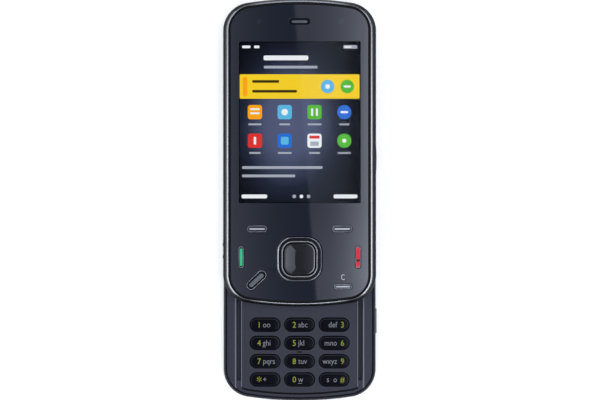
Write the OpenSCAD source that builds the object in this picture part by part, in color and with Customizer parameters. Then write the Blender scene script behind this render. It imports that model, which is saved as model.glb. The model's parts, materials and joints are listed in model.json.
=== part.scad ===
// Slider phone, lying on its back with the keypad half open.
// +Y runs towards the earpiece, +Z out of the screen, and the origin is the
// middle of the keypad half's flat back.

/* [Halves] */
// Width of both halves
body_w = 51.4; // [50.6:0.2:54]
// Length of both halves
body_l = 103.4; // [102.4:0.2:108]
// Plan radius of the arched ends
end_r = 117; // [105:1:150]
// Plan radius of the four corners
corner_r = 9.5; // [9:0.1:10.5]
// Thickness of the keypad half
base_t = 9; // [9:0.1:9.8]
// Thickness of the screen half
slide_t = 7.2; // [7.2:0.1:8]
// Air between the halves
slide_gap = 0.3; // [0.25:0.05:0.5]
// Travel from closed to keypad open
open_travel = 32; // [30:0.1:33]
// Travel from closed to media keys open
media_travel = 14.8; // [14:0.1:15.5]

/* [Keypad half] */
// Thickness of the keypad's face plate
deck_t = 1; // [0.9:0.05:1.2]
// Width of the shell's rim around the face plate
rim_w = 1; // [0.8:0.05:1.2]
// Open seam between rim and face plate
deck_seam = 0.2; // [0.15:0.05:0.3]
// Thickness of the shell's side walls
shell_wall = 1.8; // [1.6:0.1:2]
// Thickness of the web that carries the circuit board
web_t = 0.5; // [0.4:0.05:0.6]
// Width of the crease across the foot of the face plate
crease_w = 0.6; // [0.4:0.1:0.9]
// Depth of the crease
crease_d = 0.3; // [0.2:0.05:0.4]

/* [Number keys] */
// Slot in the face plate to the number keys beside it
key_side = 2.85; // [2.5:0.05:3.2]
// Space between key columns
key_space = 1.15; // [1:0.05:1.4]
// Width of a number key's opening
key_w = 4.9; // [4.5:0.1:5.1]
// Space between key rows
row_space = 1.26; // [1.1:0.02:1.4]
// Lower end of the phone to the last row's middle
keypad_up = 7.24; // [7.1:0.05:7.6]
// Air around every key
key_gap = 0.18; // [0.14:0.02:0.24]
// Travel of every press key
key_travel = 0.25; // [0.2:0.01:0.3]
// Radius of a number key's crowned top
key_crown_r = 9; // [7:0.5:14]
// Width of the flange that holds a key in
key_flange = 0.35; // [0.25:0.05:0.4]
// Length of a number key's plunger
plunger_l = 0.2; // [0.15:0.05:0.3]
// Slot in the face plate to the media keys beside it
media_side = 1.85; // [1.5:0.05:2.2]
// Space between media keys
media_space = 1; // [0.9:0.05:1.3]
// Width of a media key's opening
media_w = 4.2; // [3.8:0.1:4.6]

/* [Slide mechanism] */
// Side of the phone to each rail
rail_in = 5.2; // [5.1:0.05:5.4]
// Width of the slot in the face plate over a rail
slot_w = 1.5; // [1.3:0.05:1.7]
// Width of a rail channel outside
channel_w = 3.8; // [3.6:0.05:3.85]
// Height of a rail channel outside
channel_h = 1.4; // [1.35:0.05:1.5]
// Sheet thickness of a rail channel
channel_s = 0.4; // [0.35:0.05:0.45]
// Upper and lower ends of the phone to the slots' ends
slot_in = 6.9; // [6.8:0.1:7.2]
// Room beyond each runner at the ends of its travel
runner_stop = 0.5; // [0.3:0.1:0.8]
// Air around a runner in its channel
runner_gap = 0.2; // [0.15:0.05:0.25]
// Air on each side of a runner's stem in its slot
stem_gap = 0.25; // [0.2:0.05:0.3]

/* [Screen half] */
// Width of the bezel beside the window
bezel_side = 2.65; // [2.5:0.05:2.8]
// Width of the bezel at the ends
bezel_end = 2; // [1.9:0.05:2.2]
// Width of the black gasket round the window
gasket_w = 0.6; // [0.5:0.05:0.7]
// Thickness of the window
window_t = 1; // [0.9:0.05:1.1]
// Depth of the window below the bezel's crest
window_drop = 0.2; // [0.15:0.05:0.3]
// Edge of the window to the screen beside it
screen_side = 2.65; // [2.4:0.05:3]
// Upper end of the phone to the screen
screen_down = 14.4; // [13.6:0.1:15]
// Lower end of the phone to the screen
screen_up = 34.8; // [34:0.1:36]
// Thickness of the rear plate
plate_t = 0.8; // [0.7:0.05:0.9]
// Upper end of the phone to the earpiece's middle
ear_down = 7.7; // [7.6:0.1:7.9]
// Length of the earpiece slot
ear_l = 7.1; // [6.6:0.1:7.6]
// Width of the earpiece slot
ear_w = 2.1; // [1.9:0.1:2.3]
// Side of the phone to the small camera
lens_in = 11.5; // [10.5:0.1:12.5]

/* [Face keys] */
// Side of the phone to the soft keys
soft_in = 11.42; // [11:0.02:11.8]
// Lower end of the phone to the soft keys
soft_up = 26.1; // [25.9:0.05:26.3]
// Length of a soft key's opening
soft_l = 6.9; // [6.5:0.1:7.2]
// Width of a soft key's opening
soft_w = 2.5; // [2.2:0.1:2.7]
// Side of the phone to the call and end keys
call_in = 6.1; // [6:0.05:6.3]
// Lower end of the phone to the call and end keys
call_up = 16.6; // [16.3:0.1:17]
// Length of a call key's opening
call_l = 7.6; // [7.2:0.1:8]
// Width of a call key's opening
call_w = 2; // [1.8:0.1:2.1]
// Side of the phone to the menu and clear keys
menu_in = 11.2; // [11:0.05:11.4]
// Lower end of the phone to the menu key
menu_up = 8.9; // [8.8:0.05:9.1]
// Length of the menu key's opening
menu_l = 8.4; // [8:0.1:8.6]
// Width of the menu key's opening
menu_w = 3.4; // [3.1:0.1:3.5]
// Turn of the menu key
menu_turn = 43; // [40:1:47]
// Lower end of the phone to the clear key
clear_up = 6.76; // [6.6:0.05:7]
// Length of the clear key's opening
clear_l = 6.3; // [6:0.1:6.6]
// Width of the clear key's opening
clear_w = 2.1; // [1.9:0.1:2.3]
// Lower end of the phone to the navigation key
nav_up = 16; // [15.8:0.05:16.2]
// Width of the navigation key's opening
nav_w = 15.4; // [15:0.1:15.6]
// Corner radius of the navigation key's opening
nav_r = 5.4; // [5:0.1:5.8]
// Edge of that opening to the hole in the navigation ring
nav_side = 2.3; // [2.25:0.05:2.4]
// Width of the raised band round that hole
nav_band = 0.85; // [0.7:0.05:0.9]

/* [Back] */
// Edge of the phone to the battery cover
cover_in = 3.2; // [3:0.1:3.6]
// Thickness of the battery cover
cover_t = 1; // [0.9:0.05:1.1]
// Kickstand to the battery cover
cover_down = 6; // [5.8:0.1:6.6]
// Side of the phone to the battery
battery_in = 7.7; // [7.6:0.1:8.4]
// Lower end of the phone to the battery
battery_up = 10.2; // [9.8:0.1:12]
// Upper edge of the battery cover to the battery
battery_down = 3.5; // [3.3:0.1:5]
// Upper end of the phone to the camera
camera_down = 18.7; // [18.5:0.1:19.5]
// Middle of the phone to the camera
camera_x = 4.2; // [4:0.1:4.4]
// Radius of the camera's glass
glass_r = 3.9; // [3.7:0.05:4]
// Width of the sliding lens cover
lens_cover_w = 9.2; // [8.8:0.1:9.4]
// Length of the sliding lens cover
lens_cover_l = 10.4; // [10:0.1:10.6]
// Travel of the lens cover
lens_travel = 8.6; // [8.2:0.1:8.8]
// Width of the kickstand across the phone
kick_w = 26; // [25.6:0.1:26.4]
// Length of the kickstand along the phone
kick_l = 22; // [21.8:0.1:22.4]
// Width of the kickstand's bar
kick_bar = 2.4; // [2.2:0.05:2.6]
// Thickness of the kickstand
kick_t = 1.4; // [1.3:0.05:1.45]
// Radius of the kickstand's hinge pins
kick_pin_r = 0.45; // [0.4:0.01:0.48]
// Running clearance of the hinge pins
kick_pin_gap = 0.07; // [0.05:0.01:0.09]

/* [Edges] */
// Radius of the headset socket's bore
jack_r = 1.75; // [1.7:0.01:1.8]
// Depth of the headset socket's bore
jack_depth = 14; // [13:0.1:14.2]
// Width of the USB socket's mouth
usb_w = 6.9; // [6.8:0.05:7]
// Height of the USB socket's mouth
usb_h = 1.85; // [1.8:0.05:1.9]
// Height of the side keys above the back
side_key_z = 4.7; // [4.6:0.05:4.9]
// How far the side keys stand proud
side_proud = 0.35; // [0.3:0.05:0.5]
// Lower end of the phone to the camera key's middle
camera_key_up = 26.9; // [26.5:0.1:27.4]
// Length of the camera key
camera_key_l = 8.5; // [8:0.1:9]
// Upper end of the phone to the volume key's middle
volume_down = 21.7; // [21.3:0.1:22.1]
// Length of the volume key
volume_l = 15; // [14:0.1:15.4]
// Keylock slider below the phone's middle
lock_y = 1; // [0.6:0.1:1.4]
// Length of the keylock slider
lock_l = 6.4; // [6:0.1:6.8]
// Travel of the keylock slider
lock_travel = 1.2; // [1:0.1:1.3]
// Middle of the phone to the power key
power_x = 11; // [10.6:0.1:11.4]
// Length of the power key
power_l = 7; // [6.6:0.1:7.4]

/* [Hidden] */
$fn = 48;
eps = 0.01;

// Seats and clearances that several pieces share
seat = 0.05;
loose = 0.15;
bay_gap = 0.3;
plunger_h = 0.35;
deck_z = base_t - deck_t;
slide_z = base_t + slide_gap;
deck_in = rim_w + deck_seam;
rim_drop = 0.2;
half_l = body_l / 2;
half_w = body_w / 2;
rail_x = half_w - rail_in;
stem_w = slot_w - 2 * stem_gap;
slot_half_l = half_l - slot_in;
runner_l = 2 * slot_half_l - open_travel - media_travel - 2 * runner_stop;

// Steps round the outline: straight facets per corner and per arched end
corner_steps = 14;
end_steps = 8;

// Number keys fill the width between the slots, and so do the media keys
key_room = 2 * rail_x - slot_w;
key_l = (key_room - 2 * key_side - 2 * key_space) / 3;
col_pitch = key_l + key_space;
row_pitch = key_w + row_space;
media_l = (key_room - 2 * media_side - 3 * media_space) / 4;
media_pitch = media_l + media_space;
media_y = half_l - media_travel / 2;
nib_l = 1.6;
nib_w = 0.45;
nib_h = 0.12;

// Levels under the keypad's face plate, from the keys down
board_t = 0.8;
dome_t = 0.3;
key_proud = 0.05;
flange_t = 0.35;
flange_z = deck_z - seat - flange_t;
dome_z = flange_z - plunger_l - key_travel - seat - dome_t;
web_z = dome_z - board_t;
board_gap = 0.6;
board_w = 2 * (rail_x - channel_w / 2 - board_gap);
board_in = 2.4;

// Levels in the screen half, above its own rear face
window_z = slide_t - 0.1 - window_drop - window_t;
window_top = window_z + window_t;
face_flange_z = window_z - seat - flange_t;
face_board_t = 0.6;
display_z = 3;
face_board_z = face_flange_z - key_travel - seat - face_board_t - plunger_h;
ledge_w = 0.65;
ledge_t = 0.6;
bar_h = 0.15;
nav_pad_z = face_board_z + face_board_t + key_travel;
nav_pad_t = 0.2;
nav_hole_r = nav_r - nav_side;
nav_groove_w = 0.7;
nav_groove_d = 0.25;

// Screen and keys on the screen half, from its own middle
screen_w = body_w - 2 * (bezel_side + screen_side);
screen_l = body_l - screen_down - screen_up;
screen_y = (screen_up - screen_down) / 2;
screen_frame = 1.3;
ear_y = half_l - ear_down;
soft_y = soft_up - half_l;
call_y = call_up - half_l;
menu_y = menu_up - half_l;
clear_y = clear_up - half_l;
nav_y = nav_up - half_l;
soft_x = half_w - soft_in;
call_x = half_w - call_in;
menu_x = half_w - menu_in;
lens_x = half_w - lens_in;
nav_hole = nav_w - 2 * nav_side;
nav_pad_in = 0.6;
ear_box_l = 11;
ear_box_w = 5;
ear_box_h = 2.6;
eye_box_w = 4.6;
eye_box_h = 1.4;
eye_r = 1.8;

// Kickstand's hinge and its recess in the back
kick_clear = 0.25;
kick_x = -kick_w / 2;
kick_z0 = 0.15;
kick_z = kick_z0 + kick_t / 2;
pin_l = 1.2;
kick_hub = 1.6;
recess_z = kick_t + kick_z0 + kick_clear;
kick_corner = 3;
kick_inner_corner = 1.6;
thumb_r = 3.2;
camera_y = half_l - camera_down;

// Lens cover and glass in the back
cover_lip = 0.6;
cover_plate_t = 0.8;
cover_z = 0.15;
cover_top_z = cover_z + cover_plate_t + 0.1;
cover_lip_z = cover_z + 0.4;
glass_z = cover_top_z + 0.1;
glass_t = 0.6;
barrel_r = 3.1;
lamp_r = 0.9;
lamp_y = camera_y + (lens_cover_l + kick_l - 2 * kick_bar) / 4;
lamp_step = 3;
camera_l = 10;

// Battery, between the lower end and the upper edge of its cover
cover_top = camera_y - kick_l / 2 - cover_down;
battery_w = body_w - 2 * battery_in;
battery_l = half_l - battery_up + cover_top - battery_down;
battery_y = cover_top - battery_down - battery_l / 2;
battery_air = 0.1;
battery_t = web_z - web_t - cover_t - 3 * battery_air;

// The headset socket, the tallest piece, sets the floor of the upper bays
jack_wall = 0.35;
jack_h = 2 * (jack_r + jack_wall);
jack_z = dome_z - jack_h / 2;
floor_z = dome_z - jack_h;
jack_nose_r = jack_r + 0.75;
jack_nose_l = 2.2;
jack_half_w = jack_nose_r + 0.3;
jack_x = camera_x + camera_l / 2 + 0.5 + jack_half_w;
socket_gap = 0.1;
usb_s = 0.35;
usb_z = web_z - usb_h / 2 - usb_s - 0.325;
usb_l = 5;
usb_in = 0.5;
usb_tongue_w = 3.7;
usb_tongue_t = 0.6;
mic_x = 9;
mic_r = 0.4;

// Other bays of the keypad half
bay_x = jack_x + jack_half_w + 2.2;
bay_h = web_z - floor_z - 0.2;
speaker_x = half_w - 4.5;
speaker_w = 4.6;
speaker_l = 11;
speaker_port_r = 1.2;
grille_l = speaker_l - 2;
grille_w = 2;
grille_t = 0.6;
grille_pitch = 1.1;
grille_slot = 0.5;
speaker_up_y = half_l - 19.7;
speaker_low_y = half_l - 14.7;
motor_r = bay_h / 2;
motor_l = 8;
motor_y = half_l - 13.7;
screw_x = half_w - 5.3;
screw_up_y = cover_top - 5;
screw_low_y = 34.7 - half_l;
screw_r = 0.7;
screw_head_r = 1.2;
screw_head_t = 0.5;

// Keys in the side walls and in the upper end
camera_key_y = half_l - camera_key_up;
volume_y = half_l - volume_down;
side_h = 2;
side_pocket = half_w - 3.9;
shoulder = 0.4;
pocket_d = 2;
pocket_h = 3.4;
pocket_more = 1.5;
foot_more = 0.8;
foot_t = 0.6;
lock_recess = 0.6;
lock_cap_t = 0.4;
lock_neck_l = 3;
lock_neck_h = 1;
lock_foot_l = 5;
lock_foot_h = 2.4;
power_depth = 4;

// Y of the phone's arched end at a place across it
function end_y(x) = half_l - end_r + sqrt(pow(end_r, 2) - pow(x, 2));

// Points along an arc about c
function arc(c, r, from, to, steps) =
    [for (i = [0:steps]) let (a = from + (to - from) * i / steps) c + r * [cos(a), sin(a)]];

// Outline with arched ends and round corners
function plan(w, l, corner, arch) =
    let (
        cx = w / 2 - corner,
        arch_y = l / 2 - arch,
        rise = sqrt(pow(arch - corner, 2) - pow(cx, 2)),
        cy = arch_y + rise,
        turn = atan2(rise, cx),
        top = arc([0, arch_y], arch, turn, 180 - turn, end_steps),
        inner = [for (i = [1:end_steps - 1]) top[i]],
        half = concat(arc([cx, cy], corner, 0, turn, corner_steps), inner,
            arc([-cx, cy], corner, 180 - turn, 180, corner_steps))
    )
    concat(half, [for (p = half) -p]);

// The phone's outline drawn in from its sides and ends
function plan_in(side, end) =
    plan(body_w - 2 * side, body_l - 2 * end, corner_r - (side + end) / 2, end_r - end);

// Solid lofted through levels of [side inset, end inset, height]
module loft(levels) {
    rings = [for (v = levels) [for (p = plan_in(v[0], v[1])) [p[0], p[1], v[2]]]];
    n = len(rings[0]);
    m = len(rings);
    polyhedron(
        points = [for (ring = rings) each ring],
        faces = concat(
            [[for (i = [0:n - 1]) i]],
            [[for (i = [n - 1:-1:0]) (m - 1) * n + i]],
            [for (j = [0:m - 2], i = [0:n - 1])
                [j * n + i, (j + 1) * n + i, (j + 1) * n + (i + 1) % n, j * n + (i + 1) % n]]));
}

// Closed frame swept along the outline from a section's corners
module sweep(section) {
    rings = [for (v = section) [for (p = plan_in(v[0], v[1])) [p[0], p[1], v[2]]]];
    n = len(rings[0]);
    m = len(rings);
    polyhedron(
        points = [for (ring = rings) each ring],
        faces = [for (j = [0:m - 1], i = [0:n - 1])
            [j * n + i, (j + 1) % m * n + i, (j + 1) % m * n + (i + 1) % n, j * n + (i + 1) % n]]);
}

module plan_plate(side, end, z0, z1) {
    translate([0, 0, z0])
        linear_extrude(z1 - z0)
            polygon(plan_in(side, end));
}

// Oval bar along X
module stadium(l, w) {
    square([l - w, w], center = true);
    for (side = [-1, 1])
        translate([side * (l - w) / 2, 0])
            circle(d = w);
}

module rounded_rect(w, l, r) {
    square([w, l - 2 * r], center = true);
    square([w - 2 * r, l], center = true);
    for (sx = [-1, 1], sy = [-1, 1])
        translate([sx * (w / 2 - r), sy * (l / 2 - r)])
            circle(r);
}

module block(w, l, h) {
    translate([-w / 2, -l / 2, 0])
        cube([w, l, h]);
}

// Screen half's place, keypad open
module on_slide() {
    translate([0, open_travel, slide_z])
        children();
}

// A drawing in YZ pushed out along X from x
module from_side(x, depth) {
    translate([x, 0, 0])
        rotate([90, 0, 90])
            linear_extrude(depth)
                children();
}

// ---- Keypad half ----

module base_shell() {
    color("#2c2e36")
    difference() {
        loft([
            [2.4, 2.4, 0],
            [1.2, 1.2, 0.35],
            [0.4, 0.4, 1.2],
            [0, 0, 2.6],
            [0, 0, base_t - 1.3],
            [0.25, 0.25, base_t - 0.5],
            [0.7, 0.7, base_t - rim_drop]]);
        plan_plate(rim_w, rim_w, deck_z, base_t);
        plan_plate(shell_wall, shell_wall, web_z, base_t);
        battery_bays();
        upper_bays();
        kickstand_recess();
        camera_holes();
        side_openings();
        end_openings();
        screw_holes();
    }
}

module battery_bays() {
    translate([0, 0, -eps])
        linear_extrude(cover_t + eps)
            cover_outline(cover_in);
    translate([0, battery_y, cover_t - eps])
        block(battery_w + 2 * bay_gap, battery_l + 2 * bay_gap, web_z - web_t - cover_t + eps);
}

// Pockets for what sits beside and above the battery
module upper_bays() {
    translate([0, 0, floor_z])
        linear_extrude(web_z)
            intersection() {
                polygon(plan_in(shell_wall, shell_wall));
                translate([-bay_x, cover_top + 2])
                    square([2 * bay_x, half_l]);
            }
    for (y = [speaker_up_y, -speaker_low_y])
        translate([-speaker_x, y, floor_z])
            block(speaker_w + 2 * bay_gap, speaker_l + 2 * bay_gap, web_z);
    translate([speaker_x, -motor_y, floor_z])
        block(2 * motor_r + 2 * bay_gap, motor_l + 2 * bay_gap, web_z);
}

// Three bars of the kickstand, grown by a clearance
module kick_outline(grow) {
    difference() {
        rounded_rect(kick_w + 2 * grow, kick_l + 2 * grow, kick_corner + grow);
        rounded_rect(kick_w - 2 * kick_bar - 2 * grow, kick_l - 2 * kick_bar - 2 * grow,
            kick_inner_corner - grow);
        translate([kick_x - 2 * kick_bar, -kick_l])
            square([2 * kick_bar, 2 * kick_l]);
    }
}

module kickstand_recess() {
    translate([0, camera_y, -eps])
        linear_extrude(recess_z + eps) {
            kick_outline(kick_clear);
            translate([kick_x - kick_t / 2 - kick_clear, -kick_l / 2 - kick_clear])
                square([kick_t / 2 + 2 * kick_clear + kick_hub, kick_l + 2 * kick_clear]);
        }
    translate([kick_x, camera_y, kick_z])
        rotate([90, 0, 0])
            cylinder(h = kick_l + 2 * pin_l + 2 * kick_clear, r = kick_pin_r + kick_pin_gap, center = true);
    translate([kick_w / 2 + kick_clear, camera_y, -thumb_r / 2])
        sphere(thumb_r);
}

// The lens cover's runway, the glass's seat, the barrel and the lamps
module camera_holes() {
    runway_w = lens_cover_w + lens_travel + 2 * loose;
    runway_l = lens_cover_l + 2 * loose;
    translate([camera_x + lens_cover_w / 2 + loose - runway_w / 2, camera_y, 0]) {
        translate([0, 0, -eps])
            block(runway_w, runway_l - 2 * cover_lip, cover_top_z + eps);
        translate([0, 0, cover_lip_z - 0.1])
            block(runway_w, runway_l, cover_top_z - cover_lip_z + 0.1);
    }
    translate([camera_x, camera_y, cover_top_z - eps]) {
        cylinder(h = glass_z + glass_t - cover_top_z + eps, r = glass_r + seat);
        cylinder(h = floor_z, r = barrel_r + loose);
    }
    each_lamp()
        translate([0, 0, -eps])
            cylinder(h = floor_z + 2 * eps, r = lamp_r + seat);
}

module each_lamp() {
    for (side = [-1, 1])
        translate([camera_x + side * lamp_step / 2, lamp_y, 0])
            children();
}

module side_openings() {
    translate([0, -camera_key_y, side_key_z]) {
        from_side(side_pocket, half_w)
            stadium(camera_key_l + 2 * key_gap, side_h + 2 * key_gap);
        from_side(side_pocket, pocket_d)
            square([camera_key_l + 2 * pocket_more, pocket_h], center = true);
    }
    translate([0, volume_y, side_key_z]) {
        from_side(side_pocket, half_w)
            stadium(volume_l + 2 * key_gap, side_h + 2 * key_gap);
        from_side(side_pocket, pocket_d)
            square([volume_l + 2 * pocket_more, pocket_h], center = true);
    }
    translate([0, -lock_y, side_key_z]) {
        from_side(-half_w - 1, 1 + lock_recess)
            translate([-lock_travel / 2, 0])
                stadium(lock_l + lock_travel + 4 * key_gap, side_h + 0.6 + 2 * key_gap);
        from_side(-half_w, half_w - side_pocket - pocket_d + eps)
            translate([-lock_travel / 2, 0])
                stadium(lock_neck_l + lock_travel + 2 * key_gap, lock_neck_h + 2 * key_gap);
        from_side(-side_pocket - pocket_d, pocket_d)
            square([lock_foot_l + 2 * (lock_travel + loose), pocket_h], center = true);
    }
    for (y = [speaker_up_y, -speaker_low_y])
        translate([0, y, side_key_z])
            from_side(-half_w - 1, half_w - speaker_x + 1.5)
                stadium(grille_l + 2 * seat, grille_w + 2 * seat);
}

module end_openings() {
    translate([jack_x, half_l - power_depth, jack_z])
        rotate([-90, 0, 0])
            cylinder(h = 2 * power_depth, r = jack_nose_r + socket_gap);
    translate([-power_x, 0, side_key_z]) {
        translate([0, half_l - power_depth - 1, 0])
            rotate([-90, 0, 0])
                linear_extrude(2 * power_depth)
                    stadium(power_l + 2 * key_gap, side_h + 2 * key_gap);
        translate([0, half_l - power_depth - shoulder, 0])
            rotate([-90, 0, 0])
                linear_extrude(pocket_d)
                    square([power_l + 2 * pocket_more, pocket_h], center = true);
    }
    translate([-usb_w / 2 - usb_s - socket_gap, -half_l - 1, usb_z - usb_h / 2 - usb_s - socket_gap])
        cube([usb_w + 2 * (usb_s + socket_gap), 4, usb_h + 2 * (usb_s + socket_gap)]);
    translate([-usb_w / 2 - usb_s - bay_gap, -half_l + shell_wall, usb_z - usb_h / 2 - usb_s - socket_gap])
        cube([usb_w + 2 * (usb_s + bay_gap), usb_l, web_z]);
    translate([mic_x, -half_l - 1, usb_z])
        rotate([-90, 0, 0])
            cylinder(h = 4, r = mic_r);
}

module screw_holes() {
    each_screw() {
        cylinder(h = web_z, r = screw_r + seat);
        cylinder(h = cover_t + screw_head_t + seat, r = screw_head_r + loose);
    }
}

module each_screw() {
    for (sx = [-1, 1], y = [screw_up_y, screw_low_y])
        translate([sx * screw_x, y, 0])
            children();
}

module keypad_deck() {
    color("#3a3c46")
    difference() {
        union() {
            plan_plate(deck_in, deck_in, deck_z, base_t);
            translate([0, key_row(2) + row_pitch / 2, base_t])
                linear_extrude(nib_h)
                    stadium(nib_l, nib_w);
        }
        for (side = [-1, 1]) {
            translate([side * rail_x, 0, deck_z - eps])
                block(slot_w, 2 * slot_half_l, deck_t + 1);
            translate([side * rail_x, 0, base_t - 0.4])
                block(slot_w, body_l, 1);
        }
        translate([0, 0, deck_z - eps])
            linear_extrude(deck_t + 1) {
                for (i = [0:11])
                    translate(key_at(i))
                        stadium(key_l, key_w);
                for (i = [0:3])
                    translate(media_at(i))
                        stadium(media_l, media_w);
            }
        foot_crease();
    }
}

// The crease across the foot, between the two slots
module foot_crease() {
    translate([0, 0, base_t - crease_d])
        linear_extrude(1)
            intersection() {
                difference() {
                    polygon(plan_in(deck_in + 0.9, deck_in + 0.9));
                    polygon(plan_in(deck_in + 0.9 + crease_w, deck_in + 0.9 + crease_w));
                }
                translate([-rail_x, -half_l])
                    square([2 * rail_x, keypad_up - key_w / 2]);
            }
}

// Number keys count across and then down
function key_row(r) = keypad_up - half_l + (3 - r) * row_pitch;
function key_at(i) = [(i % 3 - 1) * col_pitch, key_row(floor(i / 3))];
function media_at(i) = [(i - 1.5) * media_pitch, media_y];

// Key of the keypad half: crowned cap, flange under the plate and plunger
module deck_key(at, l, w) {
    translate([at[0], at[1], 0]) {
        intersection() {
            translate([0, 0, flange_z])
                linear_extrude(base_t + key_proud - flange_z)
                    stadium(l - 2 * key_gap, w - 2 * key_gap);
            translate([0, 0, base_t + key_proud - key_crown_r])
                rotate([0, 90, 0])
                    cylinder(h = l, r = key_crown_r, center = true, $fn = 96);
        }
        translate([0, 0, flange_z])
            linear_extrude(flange_t)
                stadium(l + 2 * key_flange, w + 2 * key_flange);
        translate([0, 0, dome_z + dome_t + key_travel + seat])
            cylinder(h = flange_z - dome_z - dome_t - key_travel - seat + eps, r = 1);
    }
}

module number_key(i) {
    color("#0c0b14")
        deck_key(key_at(i), key_l, key_w);
}

module media_key(i) {
    color("#0c0b14")
        deck_key(media_at(i), media_l, media_w);
}

module slide_rails() {
    color("#9a9da3")
    for (side = [-1, 1])
        translate([side * rail_x, 0, deck_z - channel_h])
            difference() {
                block(channel_w, 2 * slot_half_l + 1, channel_h);
                translate([0, 0, channel_s])
                    block(channel_w - 2 * channel_s, 2 * slot_half_l, channel_h);
            }
}

module battery() {
    color("#3b4048") {
        translate([0, battery_y, cover_t + battery_air])
            difference() {
                block(battery_w, battery_l, battery_t);
                for (i = [-1:1])
                    translate([i * 4, battery_l / 2 - 0.4, 1])
                        block(2, 1, 2);
            }
    }
}

module cover_outline(inset) {
    intersection() {
        polygon(plan_in(inset, inset));
        translate([-half_w, -half_l])
            square([body_w, half_l + cover_top - (inset - cover_in)]);
    }
}

module battery_cover() {
    color("#24262c")
    difference() {
        linear_extrude(cover_t)
            cover_outline(cover_in + loose);
        translate([0, cover_top - 4, -5.4])
            sphere(6);
        for (i = [-3:3])
            translate([i * 5, battery_y, cover_t - 0.3])
                block(2.4, battery_l - 6, 1);
    }
}

module main_board() {
    color("#1d4a35")
    translate([0, 0, web_z]) {
        linear_extrude(board_t)
            difference() {
                intersection() {
                    polygon(plan_in(board_in, board_in));
                    square([board_w, body_l], center = true);
                }
                translate([camera_x, camera_y])
                    square(camera_l + 2 * bay_gap, center = true);
                translate([jack_x, half_l - jack_depth / 2 - 1])
                    square([2 * (jack_half_w + 0.5), jack_depth + 2], center = true);
                translate([-power_x, half_l])
                    square([power_l + 2 * pocket_more + 0.4, 2 * (power_depth + bay_h / 2)], center = true);
            }
    }
    color("#b9bcc2")
    translate([0, cover_top - 12, dome_z])
        block(26, 16, 0.9);
}

module dome_sheet() {
    color("#cfcfca")
    translate([0, 0, dome_z])
        difference() {
            linear_extrude(dome_t) {
                intersection() {
                    polygon(plan_in(board_in + 0.4, board_in + 0.4));
                    translate([-board_w / 2 + 0.4, -half_l])
                        square([board_w - 0.8, keypad_up + 3 * row_pitch + key_w]);
                }
                translate([0, media_y])
                    square([4 * media_pitch - media_w, media_w], center = true);
            }
            for (i = [0:11])
                translate([key_at(i)[0], key_at(i)[1], dome_t - 0.1])
                    difference() {
                        cylinder(h = 1, r = 2.2);
                        cylinder(h = 1, r = 1.9);
                    }
        }
}

module camera_module() {
    color("#202226")
    translate([camera_x, camera_y, 0]) {
        translate([0, 0, floor_z])
            block(camera_l, camera_l, dome_z - floor_z);
        translate([0, 0, glass_z + glass_t + 0.1])
            difference() {
                cylinder(h = floor_z - glass_z - glass_t - 0.1 + eps, r = barrel_r);
                translate([0, 0, -eps])
                    cylinder(h = 0.4, r1 = 2.2, r2 = 1.4);
            }
    }
}

module camera_glass() {
    color("#101820")
    translate([camera_x, camera_y, glass_z])
        cylinder(h = glass_t, r = glass_r);
}

// Cover with side lips that run in the back's grooves
module lens_cover() {
    color("#34363e")
    translate([camera_x, camera_y, 0])
        difference() {
            union() {
                translate([0, 0, cover_z])
                    block(lens_cover_w, lens_cover_l - 2 * cover_lip, cover_plate_t);
                translate([0, 0, cover_lip_z])
                    block(lens_cover_w, lens_cover_l, cover_z + cover_plate_t - cover_lip_z);
            }
            for (i = [-2:2])
                translate([i * 0.9, 0, cover_z - 0.2])
                    rotate([90, 0, 0])
                        cylinder(h = 5, r = 0.35, center = true, $fn = 24);
        }
}

module flash_lamps() {
    color("#f2efd8")
    each_lamp()
        translate([0, 0, 0.3])
            cylinder(h = floor_z - 0.3, r = lamp_r);
}

module kickstand() {
    color("#8e9196")
    translate([0, camera_y, 0]) {
        translate([0, 0, kick_z - kick_t / 2])
            linear_extrude(kick_t)
                difference() {
                    kick_outline(0);
                    translate([kick_x - 1, -kick_l])
                        square([1, 2 * kick_l]);
                }
        translate([kick_x, 0, kick_z])
            rotate([90, 0, 0]) {
                cylinder(h = kick_l, r = kick_t / 2, center = true);
                cylinder(h = kick_l + 2 * pin_l, r = kick_pin_r, center = true);
            }
        for (side = [-1, 1])
            translate([kick_x, side * (kick_l - kick_bar) / 2 - kick_bar / 2, kick_z - kick_t / 2])
                cube([2 * kick_bar, kick_bar, kick_t]);
    }
}

module loudspeakers() {
    color("#4a4c52")
    for (y = [speaker_up_y, -speaker_low_y])
        translate([-speaker_x, y, floor_z])
            difference() {
                block(speaker_w, speaker_l, bay_h);
                translate([-speaker_w / 2, 0, bay_h / 2])
                    rotate([0, 90, 0])
                        cylinder(h = speaker_port_r, r = speaker_port_r, center = true);
            }
}

module speaker_grilles() {
    color("#17181c")
    for (y = [speaker_up_y, -speaker_low_y])
        translate([0, y, side_key_z])
            difference() {
                from_side(-half_w + 2 * seat, grille_t)
                    stadium(grille_l, grille_w);
                for (i = [-3:3])
                    translate([-half_w, i * grille_pitch, 0])
                        cube([6 * grille_t, grille_slot, 0.6 * grille_w], center = true);
            }
}

module vibration_motor() {
    color("#b0b2b6")
    translate([speaker_x, -motor_y, floor_z + motor_r + seat])
        rotate([90, 0, 0]) {
            translate([0, 0, -motor_l / 2])
                cylinder(h = motor_l - 3, r = motor_r);
            cylinder(h = motor_l / 2 - 0.5, r = 0.4);
            translate([0, 0, motor_l / 2 - 2.6])
                intersection() {
                    cylinder(h = 2, r = motor_r - 0.1);
                    translate([0, motor_r / 2 + 0.2, 1])
                        cube(2 * motor_r, center = true);
                }
        }
}

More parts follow.
